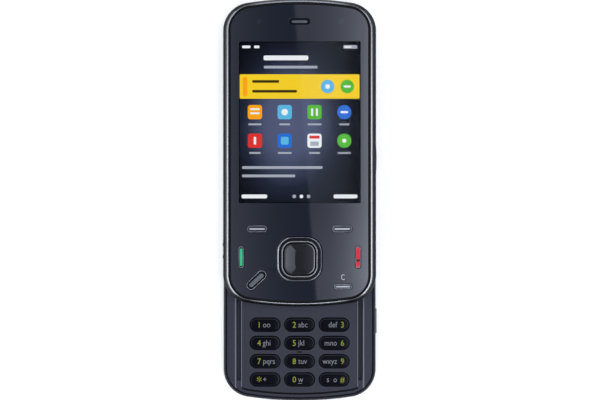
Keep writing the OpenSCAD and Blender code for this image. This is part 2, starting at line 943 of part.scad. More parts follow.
module headset_socket() {
    jack_end = end_y(jack_x + jack_nose_r) - 0.1;
    color("#1b1c20")
    translate([jack_x, jack_end, jack_z])
        rotate([90, 0, 0])
            difference() {
                union() {
                    cylinder(h = jack_nose_l + eps, r = jack_nose_r);
                    translate([-jack_half_w, -jack_h / 2, jack_nose_l])
                        cube([2 * jack_half_w, jack_h, jack_depth - jack_nose_l + 0.6]);
                }
                translate([0, 0, -eps])
                    cylinder(h = jack_depth + eps, r = jack_r);
            }
}

// Metal shell with its tongue
module usb_socket() {
    color("#c4c6ca")
    translate([0, -half_l + usb_in, usb_z]) {
        difference() {
            translate([0, usb_l / 2, 0])
                cube([usb_w + 2 * usb_s, usb_l, usb_h + 2 * usb_s], center = true);
            translate([0, usb_l / 2 - usb_s, 0])
                cube([usb_w, usb_l, usb_h], center = true);
        }
        translate([0, usb_l / 2 - usb_s + 0.4, 0.15])
            cube([usb_tongue_w, usb_l - 0.8, usb_tongue_t], center = true);
    }
}

module housing_screws() {
    color("#8a8c90")
    each_screw() {
        translate([0, 0, cover_t + seat])
            difference() {
                cylinder(h = screw_head_t, r = screw_head_r);
                translate([0, 0, -eps])
                    cylinder(h = screw_head_t / 2, r = screw_head_r / 2, $fn = 6);
            }
        translate([0, 0, cover_t + screw_head_t])
            cylinder(h = web_z - cover_t - screw_head_t - 2 * seat, r = screw_r);
    }
}

// ---- Side and end keys ----

// Key cap and its flange, standing in a side wall: +X is outwards
module side_key(x, l, proud) {
    from_side(x - half_w + side_pocket + shoulder, half_w - side_pocket - shoulder + proud)
        stadium(l, side_h);
    from_side(x - half_w + side_pocket + shoulder, foot_t)
        square([l + 2 * foot_more, side_h + foot_more], center = true);
}

module camera_key() {
    color("#1a1b20")
    translate([0, -camera_key_y, side_key_z])
        side_key(half_w, camera_key_l, side_proud);
}

// Rocker with a bowed face
module volume_key() {
    bow_r = pow(volume_l / 2, 2) / (2 * side_proud);
    color("#1a1b20")
    translate([0, volume_y, side_key_z])
        intersection() {
            side_key(half_w, volume_l, side_proud);
            translate([half_w + side_proud - bow_r, 0, -side_h])
                cylinder(h = 2 * side_h, r = bow_r, $fn = 96);
        }
}

module keylock_slider() {
    cap_x = -half_w + lock_recess - 0.1;
    foot_x = -side_pocket - pocket_d + 0.1;
    color("#1a1b20")
    translate([0, -lock_y, side_key_z]) {
        from_side(cap_x - lock_cap_t, lock_cap_t)
            stadium(lock_l, side_h + 0.4);
        for (side = [-1, 1])
            translate([cap_x - lock_cap_t + eps, side * (lock_l / 2 - 1.1), 0])
                rotate([0, -90, 0])
                    cylinder(h = side_proud + lock_recess - 0.1 - lock_cap_t, r1 = 0.8, r2 = 0.6);
        from_side(cap_x - eps, foot_x - cap_x + 2 * eps)
            stadium(lock_neck_l, lock_neck_h);
        from_side(foot_x, foot_t)
            stadium(lock_foot_l, lock_foot_h);
    }
}

module power_key() {
    color("#1a1b20")
    translate([-power_x, 0, side_key_z])
        rotate([-90, 0, 0]) {
            translate([0, 0, half_l - power_depth])
                linear_extrude(power_depth + side_proud - half_l + end_y(power_x))
                    stadium(power_l, side_h);
            translate([0, 0, half_l - power_depth])
                linear_extrude(foot_t)
                    square([power_l + 2 * foot_more, side_h + foot_more], center = true);
        }
}

// ---- Screen half, drawn about its own middle with its rear face at z = 0 ----

// Rear plate with ribs under the display and posts under the face board
module slide_plate() {
    color("#2a2c33")
    on_slide() {
        plan_plate(1.3, 1.3, 0, plate_t);
        for (i = [-1:1])
            translate([0, screen_y + i * screen_l / 3, plate_t])
                block(screen_w, 1, display_z - plate_t);
        for (sx = [-1, 1], y = [nav_y - 9, soft_y + 2])
            translate([sx * 9.5, y, plate_t])
                cylinder(h = face_board_z - plate_t, r = 1.2);
    }
}

// T-shaped runners that hang from the rear plate into the rails
module slide_runners() {
    foot_w = channel_w - 2 * channel_s - 2 * runner_gap;
    foot_t = channel_h - channel_s - 2 * runner_gap;
    foot_z = deck_z - runner_gap - foot_t;
    start = slot_half_l - runner_stop - runner_l;
    color("#b4b6bb")
    for (side = [-1, 1])
        translate([side * rail_x, start + runner_l / 2, foot_z]) {
            block(foot_w, runner_l, foot_t);
            block(stem_w, runner_l, slide_z - foot_z);
        }
}

module bezel_frame() {
    inner_s = bezel_side - gasket_w;
    inner_e = bezel_end - gasket_w;
    color("#3c3e44")
    on_slide()
        sweep([
            [0.5, 0.5, 0],
            [0.1, 0.1, 0.4],
            [0, 0, 1],
            [0, 0, slide_t - 2.6],
            [0.15, 0.12, slide_t - 1.6],
            [0.55, 0.4, slide_t - 0.8],
            [1.1, 0.75, slide_t - 0.3],
            [1.5, 1, slide_t - 0.1],
            [inner_s - 0.1, inner_e - 0.1, slide_t - 0.2],
            [inner_s, inner_e, slide_t - 0.4],
            [inner_s, inner_e, window_z],
            [bezel_side + ledge_w, bezel_end + ledge_w, window_z],
            [bezel_side + ledge_w, bezel_end + ledge_w, window_z - ledge_t],
            [1.8, 1.6, window_z - ledge_t - 0.4],
            [1.8, 1.6, plate_t + seat],
            [1.25, 1.25, plate_t + seat],
            [1.25, 1.25, 0]]);
}

module window_gasket() {
    color("#050506")
    on_slide()
        difference() {
            plan_plate(bezel_side - gasket_w + 0.02, bezel_end - gasket_w + 0.02, window_z, window_top - 0.4);
            plan_plate(bezel_side - 0.02, bezel_end - 0.02, window_z - eps, window_top);
        }
}

// Clear pane over the whole face, with a hole for every key
module front_window() {
    color("#23252e")
    on_slide()
        difference() {
            plan_plate(bezel_side, bezel_end, window_z, window_top);
            translate([0, 0, window_z - eps])
                linear_extrude(window_t + 1) {
                    translate([0, ear_y])
                        stadium(ear_l, ear_w);
                    translate([0, nav_y])
                        rounded_rect(nav_w, nav_w, nav_r);
                    for (side = [-1, 1]) {
                        translate([side * soft_x, soft_y])
                            stadium(soft_l, soft_w);
                        translate([side * call_x, call_y])
                            rotate(90)
                                stadium(call_l, call_w);
                    }
                    translate([-menu_x, menu_y])
                        rotate(menu_turn)
                            stadium(menu_l, menu_w);
                    translate([menu_x, clear_y])
                        stadium(clear_l, clear_w);
                }
        }
}

module display_module() {
    color("#20242e")
    on_slide()
        translate([0, screen_y, display_z])
            difference() {
                block(screen_w + 2 * screen_frame, screen_l + 2 * screen_frame, window_z - seat - display_z);
                translate([0, 0, window_z - seat - display_z - 0.1])
                    block(screen_w + 0.6, screen_l + 0.6, 1);
            }
}

// Board behind the keys of the screen half
module face_board() {
    color("#1d4a35")
    on_slide()
        translate([0, 0, face_board_z])
            linear_extrude(face_board_t)
                intersection() {
                    polygon(plan_in(bezel_side + ledge_w + 0.3, bezel_end + ledge_w + 0.3));
                    translate([-half_w, -half_l])
                        square([body_w, soft_y + soft_w / 2 + 1 + half_l]);
                }
}

module earpiece_speaker() {
    color("#55575d")
    on_slide()
        translate([0, ear_y, window_z - ear_box_h])
            difference() {
                block(ear_box_l, ear_box_w, ear_box_h - seat);
                translate([0, 0, ear_box_h - 1])
                    linear_extrude(1)
                        stadium(ear_l - 1, ear_w - 1);
            }
}

// Grille with a row of slots, set below the window's surface
module earpiece_grille() {
    color("#5c6069")
    on_slide()
        translate([0, ear_y, window_z])
            linear_extrude(window_t - 0.35)
                difference() {
                    stadium(ear_l - 2 * seat, ear_w - 2 * seat);
                    for (i = [-3:3])
                        translate([i * 0.7, 0])
                            square([0.3, 0.7], center = true);
                }
}

module front_camera() {
    color("#0a0c12")
    on_slide()
        translate([lens_x, ear_y, window_z - ear_box_h])
            difference() {
                union() {
                    block(eye_box_w, eye_box_w, eye_box_h);
                    cylinder(h = ear_box_h - seat, r = eye_r);
                }
                translate([0, 0, ear_box_h - seat - 0.3])
                    cylinder(h = 1, r1 = 0.5, r2 = 1.3);
            }
}

// ---- Keys on the screen half ----

// Oval key with a raised bar: cap, flange under the window and plunger
module face_key(x, y, turn, l, w, bar_l, bar_w) {
    on_slide()
        translate([x, y, 0]) {
            rotate(turn) {
                translate([0, 0, face_flange_z])
                    linear_extrude(window_top - 0.1 - face_flange_z)
                        stadium(l - 2 * key_gap, w - 2 * key_gap);
                translate([0, 0, face_flange_z])
                    linear_extrude(window_top + bar_h - face_flange_z)
                        stadium(bar_l, bar_w);
                translate([0, 0, face_flange_z])
                    linear_extrude(flange_t)
                        stadium(l + 2 * key_flange, w + 2 * key_flange);
            }
            translate([0, 0, face_flange_z - plunger_h])
                cylinder(h = plunger_h + eps, r = 0.7);
        }
}

module soft_key(side) {
    color("#5c6069")
        face_key(side * soft_x, soft_y, 0, soft_l, soft_w, soft_l - 1.5, 0.9);
}

module call_key() {
    color("#41c29b")
        face_key(-call_x, call_y, 90, call_l, call_w, call_l - 0.8, call_w - 0.7);
}

module end_key() {
    color("#ba2d3e")
        face_key(call_x, call_y, 90, call_l, call_w, call_l - 0.8, call_w - 0.7);
}

module menu_key() {
    color("#34363e")
        face_key(-menu_x, menu_y, menu_turn, menu_l, menu_w, menu_l - 1.6, menu_w - 1.2);
}

module clear_key() {
    color("#5c6069")
        face_key(menu_x, clear_y, 0, clear_l, clear_w, clear_l - 1.4, 0.8);
}

// Pad that the navigation ring rocks on, one way each
module nav_pad() {
    color("#1a1a1c")
    on_slide()
        translate([0, nav_y, nav_pad_z])
            linear_extrude(nav_pad_t)
                difference() {
                    rounded_rect(nav_w - 2 * nav_pad_in, nav_w - 2 * nav_pad_in, nav_r - nav_pad_in);
                    circle(3);
                }
}

// Ring with a sunk groove and a raised chrome band round the centre key
module nav_ring() {
    ring_w = nav_w - 2 * key_gap;
    foot = nav_pad_z + nav_pad_t + key_travel;
    band_w = nav_hole + 2 * nav_band;
    color("#2c2e36")
    on_slide()
        translate([0, nav_y, 0])
            difference() {
                union() {
                    translate([0, 0, foot])
                        linear_extrude(window_top - foot)
                            rounded_rect(ring_w, ring_w, nav_r - key_gap);
                    translate([0, 0, foot])
                        linear_extrude(window_top + bar_h - foot)
                            rounded_rect(band_w, band_w, nav_hole_r + nav_band);
                }
                translate([0, 0, foot - eps])
                    linear_extrude(slide_t)
                        rounded_rect(nav_hole, nav_hole, nav_hole_r);
                translate([0, 0, window_top - nav_groove_d])
                    linear_extrude(1)
                        difference() {
                            rounded_rect(band_w + 2 * nav_groove_w, band_w + 2 * nav_groove_w,
                                nav_hole_r + nav_band + nav_groove_w);
                            rounded_rect(band_w, band_w, nav_hole_r + nav_band);
                        }
            }
}

// Crowned key in the ring's hole
module centre_key() {
    foot = face_board_z + face_board_t + key_travel + seat;
    cap = nav_hole - 2 * key_gap;
    crown_r = 42;
    color("#2c2e36")
    on_slide()
        translate([0, nav_y, 0]) {
            intersection() {
                translate([0, 0, foot + 0.6])
                    linear_extrude(slide_t - foot - 0.6)
                        rounded_rect(cap, cap, 3);
                translate([0, 0, slide_t - crown_r])
                    sphere(crown_r, $fn = 128);
            }
            translate([0, 0, foot])
                cylinder(h = 0.6 + eps, r = 2);
        }
}

base_shell();
keypad_deck();
slide_rails();
battery();
battery_cover();
main_board();
dome_sheet();
camera_module();
camera_glass();
lens_cover();
flash_lamps();
kickstand();
loudspeakers();
speaker_grilles();
vibration_motor();
headset_socket();
usb_socket();
housing_screws();
slide_plate();
slide_runners();
bezel_frame();
window_gasket();
front_window();
display_module();
face_board();
earpiece_speaker();
earpiece_grille();
front_camera();
soft_key(-1);  // soft_key_left
soft_key(1);  // soft_key_right
call_key();
end_key();
menu_key();
clear_key();
nav_pad();
nav_ring();
centre_key();
number_key(0);  // key_1
number_key(1);  // key_2
number_key(2);  // key_3
number_key(3);  // key_4
number_key(4);  // key_5
number_key(5);  // key_6
number_key(6);  // key_7
number_key(7);  // key_8
number_key(8);  // key_9
number_key(9);  // key_star
number_key(10);  // key_0
number_key(11);  // key_hash
media_key(0);  // media_rewind
media_key(1);  // media_play
media_key(2);  // media_stop
media_key(3);  // media_forward
volume_key();
camera_key();
keylock_slider();
power_key();
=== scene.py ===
"""Looks of the slider phone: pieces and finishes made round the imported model.

Sizes are in millimetres and become metres as a piece is made; the studio's are
in metres. Screen-half pieces are drawn where that half stands with the keypad
open.
"""

import json
import math

import bmesh
import bpy
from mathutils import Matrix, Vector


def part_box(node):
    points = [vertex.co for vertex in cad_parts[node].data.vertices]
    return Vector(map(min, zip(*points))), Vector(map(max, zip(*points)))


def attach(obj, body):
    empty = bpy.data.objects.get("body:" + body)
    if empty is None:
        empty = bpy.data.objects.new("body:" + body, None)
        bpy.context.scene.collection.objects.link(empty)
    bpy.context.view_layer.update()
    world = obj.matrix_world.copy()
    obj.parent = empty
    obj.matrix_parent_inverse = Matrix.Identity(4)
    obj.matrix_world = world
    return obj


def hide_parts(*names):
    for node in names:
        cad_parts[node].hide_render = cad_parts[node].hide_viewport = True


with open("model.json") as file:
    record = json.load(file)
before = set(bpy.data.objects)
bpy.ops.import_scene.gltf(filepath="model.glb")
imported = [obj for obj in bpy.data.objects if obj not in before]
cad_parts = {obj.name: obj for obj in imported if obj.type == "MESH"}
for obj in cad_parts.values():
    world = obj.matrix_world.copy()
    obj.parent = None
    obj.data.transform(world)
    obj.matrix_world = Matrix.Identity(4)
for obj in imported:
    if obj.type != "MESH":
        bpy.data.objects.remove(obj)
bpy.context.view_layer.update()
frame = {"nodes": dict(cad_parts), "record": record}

MM = 0.001

# Outline of both halves from their middle, and how far they stand apart
HALF_W = 25.7
HALF_L = 51.7
CORNER_R = 9.5
ARCH_R = 117
TRAVEL = 32.0

# Keypad half: face plate, its two slots, the seam round it
DECK_TOP = 9.0
SLOT_X = 20.5
SLOT_HALF_W = 0.75
SLOT_REACH = 48.5
# Heights of the shell's seam band, painted black as painted shade
SEAM_LOW = 7.9
SEAM_HIGH = 8.85

# Screen half: its underside, thickness and pane
SLIDE_Z = 9.3
SLIDE_T = 7.2
PANE_BACK = SLIDE_Z + 5.9
PANE_TOP = SLIDE_Z + 6.9

# Keys: gap round a cap, flange at its foot, caps and print on the keypad half
KEY_GAP = 0.18
KEY_FLANGE = 0.35
NUMBER_L, NUMBER_W = 10.5, 4.9
MEDIA_L, MEDIA_W = 8.2, 4.2
CAP_FOOT = 7.6
CAP_TOP = DECK_TOP + 0.05
PRINT_Z = DECK_TOP + 0.02
PRINT_T = 0.03

# The lit screen
SCREEN_W = 40.8
SCREEN_L = 54.2
SCREEN_R = 0.3
SCREEN_Y = 10.2 + TRAVEL
SCREEN_Z = 15.06
GROUND_MARGIN = 0.3
GROUND_T = 0.03
INSERT_Z = SCREEN_Z + 0.09

# Earpiece and navigation keys
EAR_Y = 44.0 + TRAVEL
EAR_L, EAR_W = 7.0, 2.0
MESH_L, MESH_W = 5.4, 1.1
NAV_Y = -35.7 + TRAVEL
NAV_W = 15.4 - 2 * KEY_GAP
NAV_R = 5.4 - KEY_GAP
NAV_FOOT = SLIDE_Z + 5.55
NAV_TOP = PANE_TOP - 0.08
CENTRE_W = 10.8 - 2 * KEY_GAP
CENTRE_R = 3.0
CENTRE_FOOT = SLIDE_Z + 6.0

view_layer = bpy.context.view_layer


# ---------------------------------------------------------------- modelling


def fresh():
    """Back to object mode with nothing selected."""
    if bpy.context.mode != "OBJECT":
        bpy.ops.object.mode_set(mode="OBJECT")
    bpy.ops.object.select_all(action="DESELECT")


def alone(obj):
    fresh()
    obj.select_set(True)
    view_layer.objects.active = obj


def edit(obj):
    alone(obj)
    bpy.ops.object.mode_set(mode="EDIT")
    bpy.ops.mesh.select_all(action="SELECT")


def pick(kind, test):
    """Selects the edges or faces that the test says yes to."""
    mesh = bpy.context.edit_object.data
    bpy.ops.mesh.select_mode(type=kind)
    bpy.ops.mesh.select_all(action="DESELECT")
    shape = bmesh.from_edit_mesh(mesh)
    for item in shape.edges if kind == "EDGE" else shape.faces:
        if test(item):
            item.select_set(True)
    shape.select_flush_mode()
    bmesh.update_edit_mesh(mesh)


def pick_end(up=1):
    """Selects the flat faces at a piece's top, or with -1 at its foot."""
    shape = bmesh.from_edit_mesh(bpy.context.edit_object.data)
    limit = max(v.co.z * up for v in shape.verts) - 1e-7
    pick("FACE", lambda f: f.normal.z * up > 0.99 and f.calc_center_median().z * up > limit)


def inset(width):
    bpy.ops.mesh.inset(thickness=width * MM, depth=0, use_even_offset=True)


def lift(dz):
    bpy.ops.transform.translate(value=(0, 0, dz * MM))


def draw_in(steps):
    """Insets what is selected by each width in turn and lifts it by each height."""
    for width, height in steps:
        inset(width)
        if height:
            lift(height)


def push(dz):
    bpy.ops.mesh.extrude_region_move(TRANSFORM_OT_translate={"value": (0, 0, dz * MM)})


def tidy_normals():
    bpy.ops.mesh.select_all(action="SELECT")
    bpy.ops.mesh.normals_make_consistent(inside=False)


def bridge_openings():
    """Joins the two open edge loops of a piece with a wall."""
    pick("EDGE", lambda e: e.is_boundary)
    bpy.ops.mesh.bridge_edge_loops()
    tidy_normals()


def shape_top(obj, steps):
    """Draws a piece's top face in through steps of inset and lift."""
    edit(obj)
    pick_end()
    draw_in(steps)
    fresh()


def apply_place(obj):
    alone(obj)
    bpy.ops.object.transform_apply(location=True, rotation=True, scale=True)


def smooth(obj, angle):
    alone(obj)
    bpy.ops.object.shade_smooth_by_angle(angle=math.radians(angle))


def apply_modifier(obj, kind, **settings):
    alone(obj)
    made = obj.modifiers.new(kind.title(), kind)
    for name, value in settings.items():
        setattr(made, name, value)
    bpy.ops.object.modifier_apply(modifier=made.name)


def soften(obj, width, angle):
    """Rounds the edges sharper than an angle; flat faces beside them stay flat-looking."""
    apply_modifier(obj, "BEVEL", width=width * MM, segments=2, limit_method="ANGLE",
                   angle_limit=math.radians(angle), use_clamp_overlap=True)
    smooth(obj, angle)
    apply_modifier(obj, "WEIGHTED_NORMAL", keep_sharp=True, weight=100)


def rounded_block(name, w, l, r, z0, z1, steps):
    """Block about the Z axis, its upright corners rounded in so many steps."""
    fresh()
    bpy.ops.mesh.primitive_cube_add(size=1)
    obj = bpy.context.object
    obj.name = name
    obj.scale = (w * MM, l * MM, (z1 - z0) * MM)
    obj.location = (0, 0, (z0 + z1) / 2 * MM)
    apply_place(obj)
    edit(obj)
    pick("EDGE", lambda e: abs((e.verts[0].co - e.verts[1].co).normalized().z) > 0.9)
    bpy.ops.mesh.bevel(offset=r * MM, segments=steps, affect="EDGES")
    bpy.ops.mesh.select_all(action="SELECT")
    bpy.ops.mesh.remove_doubles(threshold=1e-6)
    fresh()
    return obj


def oval(name, l, w, z0, z1, steps):
    """Bar with round ends."""
    return rounded_block(name, l, w, w / 2, z0, z1, steps)


def middle_of(node):
    """Where a solid's middle stands across and up."""
    low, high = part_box(node)
    return (low.x + high.x) / 2 / MM, (low.y + high.y) / 2 / MM


def place(obj, x, y, turn=0):
    """Moves a piece drawn about the origin to its place, turned about Z."""
    obj.rotation_euler = (0, 0, math.radians(turn))
    obj.location = (x * MM, y * MM, 0)
    apply_place(obj)
    return obj


def paint(obj, finishes, choose=None):
    """Gives a piece its finishes; choose names the one that a face gets."""
    obj.data.materials.clear()
    for finish in finishes:
        obj.data.materials.append(finish)
    for face in obj.data.polygons:
        face.material_index = finishes.index(choose(face)) if choose else 0


def join(pieces, name):
    fresh()
    for piece in pieces:
        piece.select_set(True)
    view_layer.objects.active = pieces[0]
    if len(pieces) > 1:
        bpy.ops.object.join()
    pieces[0].name = name
    return pieces[0]


def finished(obj, name, body, slot, *nodes):
    """Names a piece, sets it on its body and hides the solids it stands for."""
    obj.name = name
    obj.data.name = name
    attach(obj, body)
    if nodes:
        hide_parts(*nodes)


def from_solid(node, name, flat=0.5):
    """A merged copy of a CAD solid, its triangles made whole faces where flat to an angle."""
    fresh()
    obj = bpy.data.objects.new(name, frame["nodes"][node].data.copy())
    bpy.context.scene.collection.objects.link(obj)
    alone(obj)
    bpy.ops.mesh.customdata_custom_splitnormals_clear()
    edit(obj)
    bpy.ops.mesh.remove_doubles(threshold=2e-6)
    bpy.ops.mesh.dissolve_limited(angle_limit=math.radians(flat))
    bpy.ops.mesh.faces_shade_flat()
    fresh()
    return obj


def cut(obj, tool):
    """Cuts a tool's shape out of a piece."""
    apply_modifier(obj, "BOOLEAN", operation="DIFFERENCE", object=tool, solver="EXACT")
    bpy.data.objects.remove(tool)


def writing(name, words, x, y, z, size, squeeze, finish, thick=PRINT_T, align="CENTER"):
    """Raised printed characters, set to a point on their base line."""
    fresh()
    bpy.ops.object.text_add()
    obj = bpy.context.object
    obj.data.body = words
    obj.data.size = size * MM
    obj.data.extrude = thick * MM
    obj.data.offset = -0.004 * size * MM
    obj.data.align_x = align
    obj.data.resolution_u = 3
    bpy.ops.object.convert(target="MESH")
    obj = bpy.context.object
    obj.scale = (squeeze, 1, 1)
    obj.location = (x * MM, y * MM, z * MM)
    apply_place(obj)
    edit(obj)
    bpy.ops.mesh.remove_doubles(threshold=1e-7)
    fresh()
    obj.name = name
    paint(obj, [finish])
    return obj


# ---------------------------------------------------------------- finishes


class Sock:
    """A socket of a finish's node tree, so that shader maths reads as Python."""

    def __init__(self, tree, plug=None):
        self.tree, self.plug = tree, plug

    def node(self, kind, settings=None, inputs=None, out=0):
        made = self.tree.nodes.new("ShaderNode" + kind)
        for name, value in (settings or {}).items():
            if name == "stops":
                ramp = made.color_ramp
                while len(ramp.elements) < len(value):
                    ramp.elements.new(0.5)
                for stop, (at, colour) in zip(ramp.elements, value):
                    stop.position, stop.color = at, colour
            else:
                setattr(made, name, value)
        for key, value in (inputs or {}).items():
            if isinstance(value, Sock):
                self.tree.links.new(value.plug, made.inputs[key])
            else:
                made.inputs[key].default_value = value
        return Sock(self.tree, made.outputs[out]) if made.outputs else None

    def maths(self, operation, a, b=0.0):
        return self.node("Math", {"operation": operation}, {0: a, 1: b})

    def __add__(self, other):
        return self.maths("ADD", self, other)

    def __sub__(self, other):
        return self.maths("SUBTRACT", self, other)

    def __rsub__(self, other):
        return self.maths("SUBTRACT", other, self)

    def __mul__(self, other):
        return self.maths("MULTIPLY", self, other)

    def __truediv__(self, other):
        return self.maths("DIVIDE", self, other)

    def __pow__(self, other):
        return self.maths("POWER", self, other)

    def __gt__(self, other):
        return self.maths("GREATER_THAN", self, other)

    def __lt__(self, other):
        return self.maths("LESS_THAN", self, other)

    __radd__ = __add__
    __rmul__ = __mul__

    def beside(self, key):
        """Another output of the node that this one belongs to."""
        return Sock(self.tree, self.plug.node.outputs[key])

    def fade(self, low, high, start=0.0, end=1.0):
        """Goes from start to end as the value goes from low to high."""
        return self.node("MapRange", {}, {0: self, 1: low, 2: high, 3: start, 4: end})

    def ramp(self, *stops):
        """Colour at this value, between stops of a position and a colour."""
        return self.node("ValToRGB", {"stops": stops}, {0: self})

    def larger(self, other):
        return self.maths("MAXIMUM", self, other)

    def smaller(self, other):
        return self.maths("MINIMUM", self, other)


def tone(r, g, b):
    """A colour as seen on a screen, made linear."""
    return tuple(c / 255 / 12.92 if c < 11 else ((c / 255 + 0.055) / 1.055) ** 2.4
                 for c in (r, g, b)) + (1.0,)


def start(name):
    made = bpy.data.materials.new(name)
    made.use_nodes = True
    made.node_tree.nodes.clear()
    return made, Sock(made.node_tree)


def where(pen):
    return pen.node("TexCoord", out="Object")


def axes(pen, point=None):
    """The three coordinates of a point of the piece, in metres."""
    x = pen.node("SeparateXYZ", {}, {0: point or where(pen)})
    return x, x.beside(1), x.beside(2)


def noise(pen, size, detail, at=None, rough=0.5):
    """Even noise whose grain is about so many millimetres wide."""
    return pen.node("TexNoise", {}, {"Vector": at or where(pen), "Scale": 1 / (size * MM),
                                     "Detail": detail, "Roughness": rough})


def stretched(pen, x, y, z):
    """Object coordinates scaled per axis, for brushed and drawn metal."""
    return pen.node("Mapping", {}, {"Vector": where(pen), "Scale": (x, y, z)})


# How a pattern is stretched to make fine lines along an axis
DRAWN = {"x": (0.3, 9, 9), "y": (9, 0.3, 9)}


def blend(pen, mask, a, b):
    return pen.node("Mix", {"data_type": "RGBA"}, {0: mask, 6: a, 7: b}, out=2)


def ridges(pen, height, strength, depth):
    return pen.node("Bump", {}, {"Strength": strength, "Distance": depth * MM, "Height": height})


def surface(pen, **sockets):
    shader = pen.node("BsdfPrincipled", {}, {k.replace("_", " "): v for k, v in sockets.items()})
    pen.node("OutputMaterial", {}, {"Surface": shader})


def plastic(name, dark, light, rough, grain, bump, depth=0.02, shine=0.25):
    """Moulded or painted plastic: clouded colour, fine grain, a few handling marks."""
    made, pen = start(name)
    fine = noise(pen, grain, 3)
    cloud = noise(pen, 9, 4)
    surface(pen, Base_Color=blend(pen, cloud * 0.6 + fine * 0.4, tone(*dark), tone(*light)),
            Roughness=fine * 0.08 + cloud * 0.1 + (rough - 0.09),
            Specular_IOR_Level=shine, Normal=ridges(pen, fine, bump, depth))
    return made


def metal(name, dark, light, rough, along, bump=0.1):
    """Metal with fine drawn lines along the x or y axis and faint clouding."""
    made, pen = start(name)
    lines = noise(pen, 1, 3, stretched(pen, *DRAWN[along]))
    cloud = noise(pen, 6, 3)
    surface(pen, Base_Color=blend(pen, lines * 0.5 + cloud * 0.5, tone(*dark), tone(*light)),
            Metallic=1.0, Roughness=lines * 0.12 + cloud * 0.08 + (rough - 0.1),
            Normal=ridges(pen, lines, bump, 0.01))
    return made


def glossy(name, dark, light, rough, smear, shine=0.5):
    """Polished hard plastic or glass print: deep colour, faint smears in the gloss."""
    made, pen = start(name)
    smears = noise(pen, 14, 5, rough=0.6)
    specks = noise(pen, 0.35, 2)
    surface(pen, Base_Color=blend(pen, smears * 0.7 + specks * 0.3, tone(*dark), tone(*light)),
            Roughness=smears * smear + specks * 0.02 + rough, Specular_IOR_Level=shine,
            Normal=ridges(pen, smears, 0.02, 0.05))
    return made


def glow(pen, colour):
    """A surface that is seen by its own light alone."""
    surface(pen, Base_Color=(0, 0, 0, 1), Roughness=0.6, Specular_IOR_Level=0.0,
            Emission_Color=colour, Emission_Strength=1.0)


def lit(name, colour, edge):
    """Part of the lit picture: flat glow with the screen's fine dot rows."""
    made, pen = start(name)
    rows = pen.node("TexWave", {"bands_direction": "Y"}, {"Vector": where(pen), "Scale": 900.0})
    glow(pen, blend(pen, rows * 0.12, tone(*colour), tone(*edge)))
    return made


def corner_shade_mask(pen):
    """One where the frame's ends turn into its sides, nought elsewhere: where painted shade darkens
    the bead and flank.
    """
    x, y, _ = axes(pen)
    x, y = x / MM, y / MM - TRAVEL
    return (y * y).fade(47.0 ** 2, 48.2 ** 2) * (x * x).fade(13.0 ** 2, 17.0 ** 2)


def bead_metal_painted_shade():
    """Bright metal of the bead with painted shade: dimmer towards the upper end and where the ends
    turn.
    """
    made, pen = start("bead_metal_painted_shade")
    _, y, _ = axes(pen)
    lines = noise(pen, 1, 3, stretched(pen, *DRAWN["y"]))
    # Painted shade: the bead's colour dims towards the upper end
    high = (y / MM).fade(46.0, 76.0)
    colour = blend(pen, high, tone(182, 185, 190), tone(140, 143, 149))
    # Painted shade where the ends turn into the sides
    surface(pen, Base_Color=blend(pen, corner_shade_mask(pen), colour, tone(88, 90, 95)), Metallic=1.0,
            Roughness=lines * 0.12 + 0.1, Normal=ridges(pen, lines, 0.04, 0.01))
    return made


def flank_painted_sheen():
    """Dark metal of the frame's flank with a painted sheen that lightens it as it rises to the bright
    bead, and painted shade where the ends turn.
    """
    made, pen = start("flank_painted_sheen")
    _, _, height = axes(pen)
    foot, rise = 12.5 * MM, 3.7 * MM
    lines = noise(pen, 1.2, 3, stretched(pen, 5, 0.3, 5))
    # Painted sheen: colour rises from near black to bright with height
    colour = ((height - foot) / rise + lines * 0.06).ramp(
        (0.0, tone(10, 10, 12)), (0.77, tone(12, 12, 15)), (0.87, tone(36, 37, 41)),
        (0.93, tone(62, 64, 68)), (1.0, tone(112, 115, 120)))
    # Painted shade where the ends turn into the sides
    colour = blend(pen, corner_shade_mask(pen), colour, tone(10, 10, 12))
    surface(pen, Base_Color=colour, Metallic=0.9, Roughness=lines * 0.08 + 0.16)
    return made


def ring_lip():
    """Satin metal lip of the ring: painted highlight on its left, painted shade elsewhere."""
    made, pen = start("ring_lip_painted_highlight")
    across, _, _ = axes(pen)
    lines = noise(pen, 1, 3, stretched(pen, 9, 9, 9))
    # Painted highlight on the left, painted shade towards the right
    painted_left_highlight = (across + (lines - 0.5) * 0.6 * MM).fade(-3.0 * MM, -7.0 * MM)
    surface(pen, Base_Color=blend(pen, painted_left_highlight, tone(74, 76, 84), tone(142, 145, 152)), Metallic=1.0,
            Roughness=lines * 0.1 + 0.14, Normal=ridges(pen, lines, 0.03, 0.01))
    return made


def print_colour(name, dark, light):
    """Print or clear moulded colour, a little uneven."""
    made, pen = start(name)
    worn = noise(pen, 0.5, 3)
    surface(pen, Base_Color=blend(pen, worn, tone(*dark), tone(*light)),
            Roughness=worn * 0.1 + 0.35, Specular_IOR_Level=0.15)
    return made


def screen_ground():
    """Ground of the lit picture: night blue with a dusky glow in the middle."""
    made, pen = start("screen_ground")
    half_w, half_l = SCREEN_W / 2, SCREEN_L / 2
    dusk_w, dusk_l = 12.5, 17.4
    x, y, _ = axes(pen)
    x, y = x / (half_w * MM), (y - SCREEN_Y * MM) / (half_l * MM)
    across = (x + 0.17) * (half_w / dusk_w)
    up = (y + 0.02) * (half_l / dusk_l)
    apart = pen.maths("SQRT", across * across + up * up) * 0.5
    shaded = (apart + (noise(pen, 22, 1) - 0.5) * 0.12).ramp(
        (0.0, tone(82, 90, 120)), (0.33, tone(76, 84, 114)), (0.5, tone(55, 62, 84)),
        (0.63, tone(31, 36, 53)), (0.75, tone(20, 24, 37)), (0.9, tone(10, 13, 22)),
        (1.0, tone(6, 8, 14)))
    border = pen.maths("ABSOLUTE", x).larger(pen.maths("ABSOLUTE", y)) > 0.985
    glow(pen, blend(pen, border, shaded, tone(4, 6, 10)))
    return made


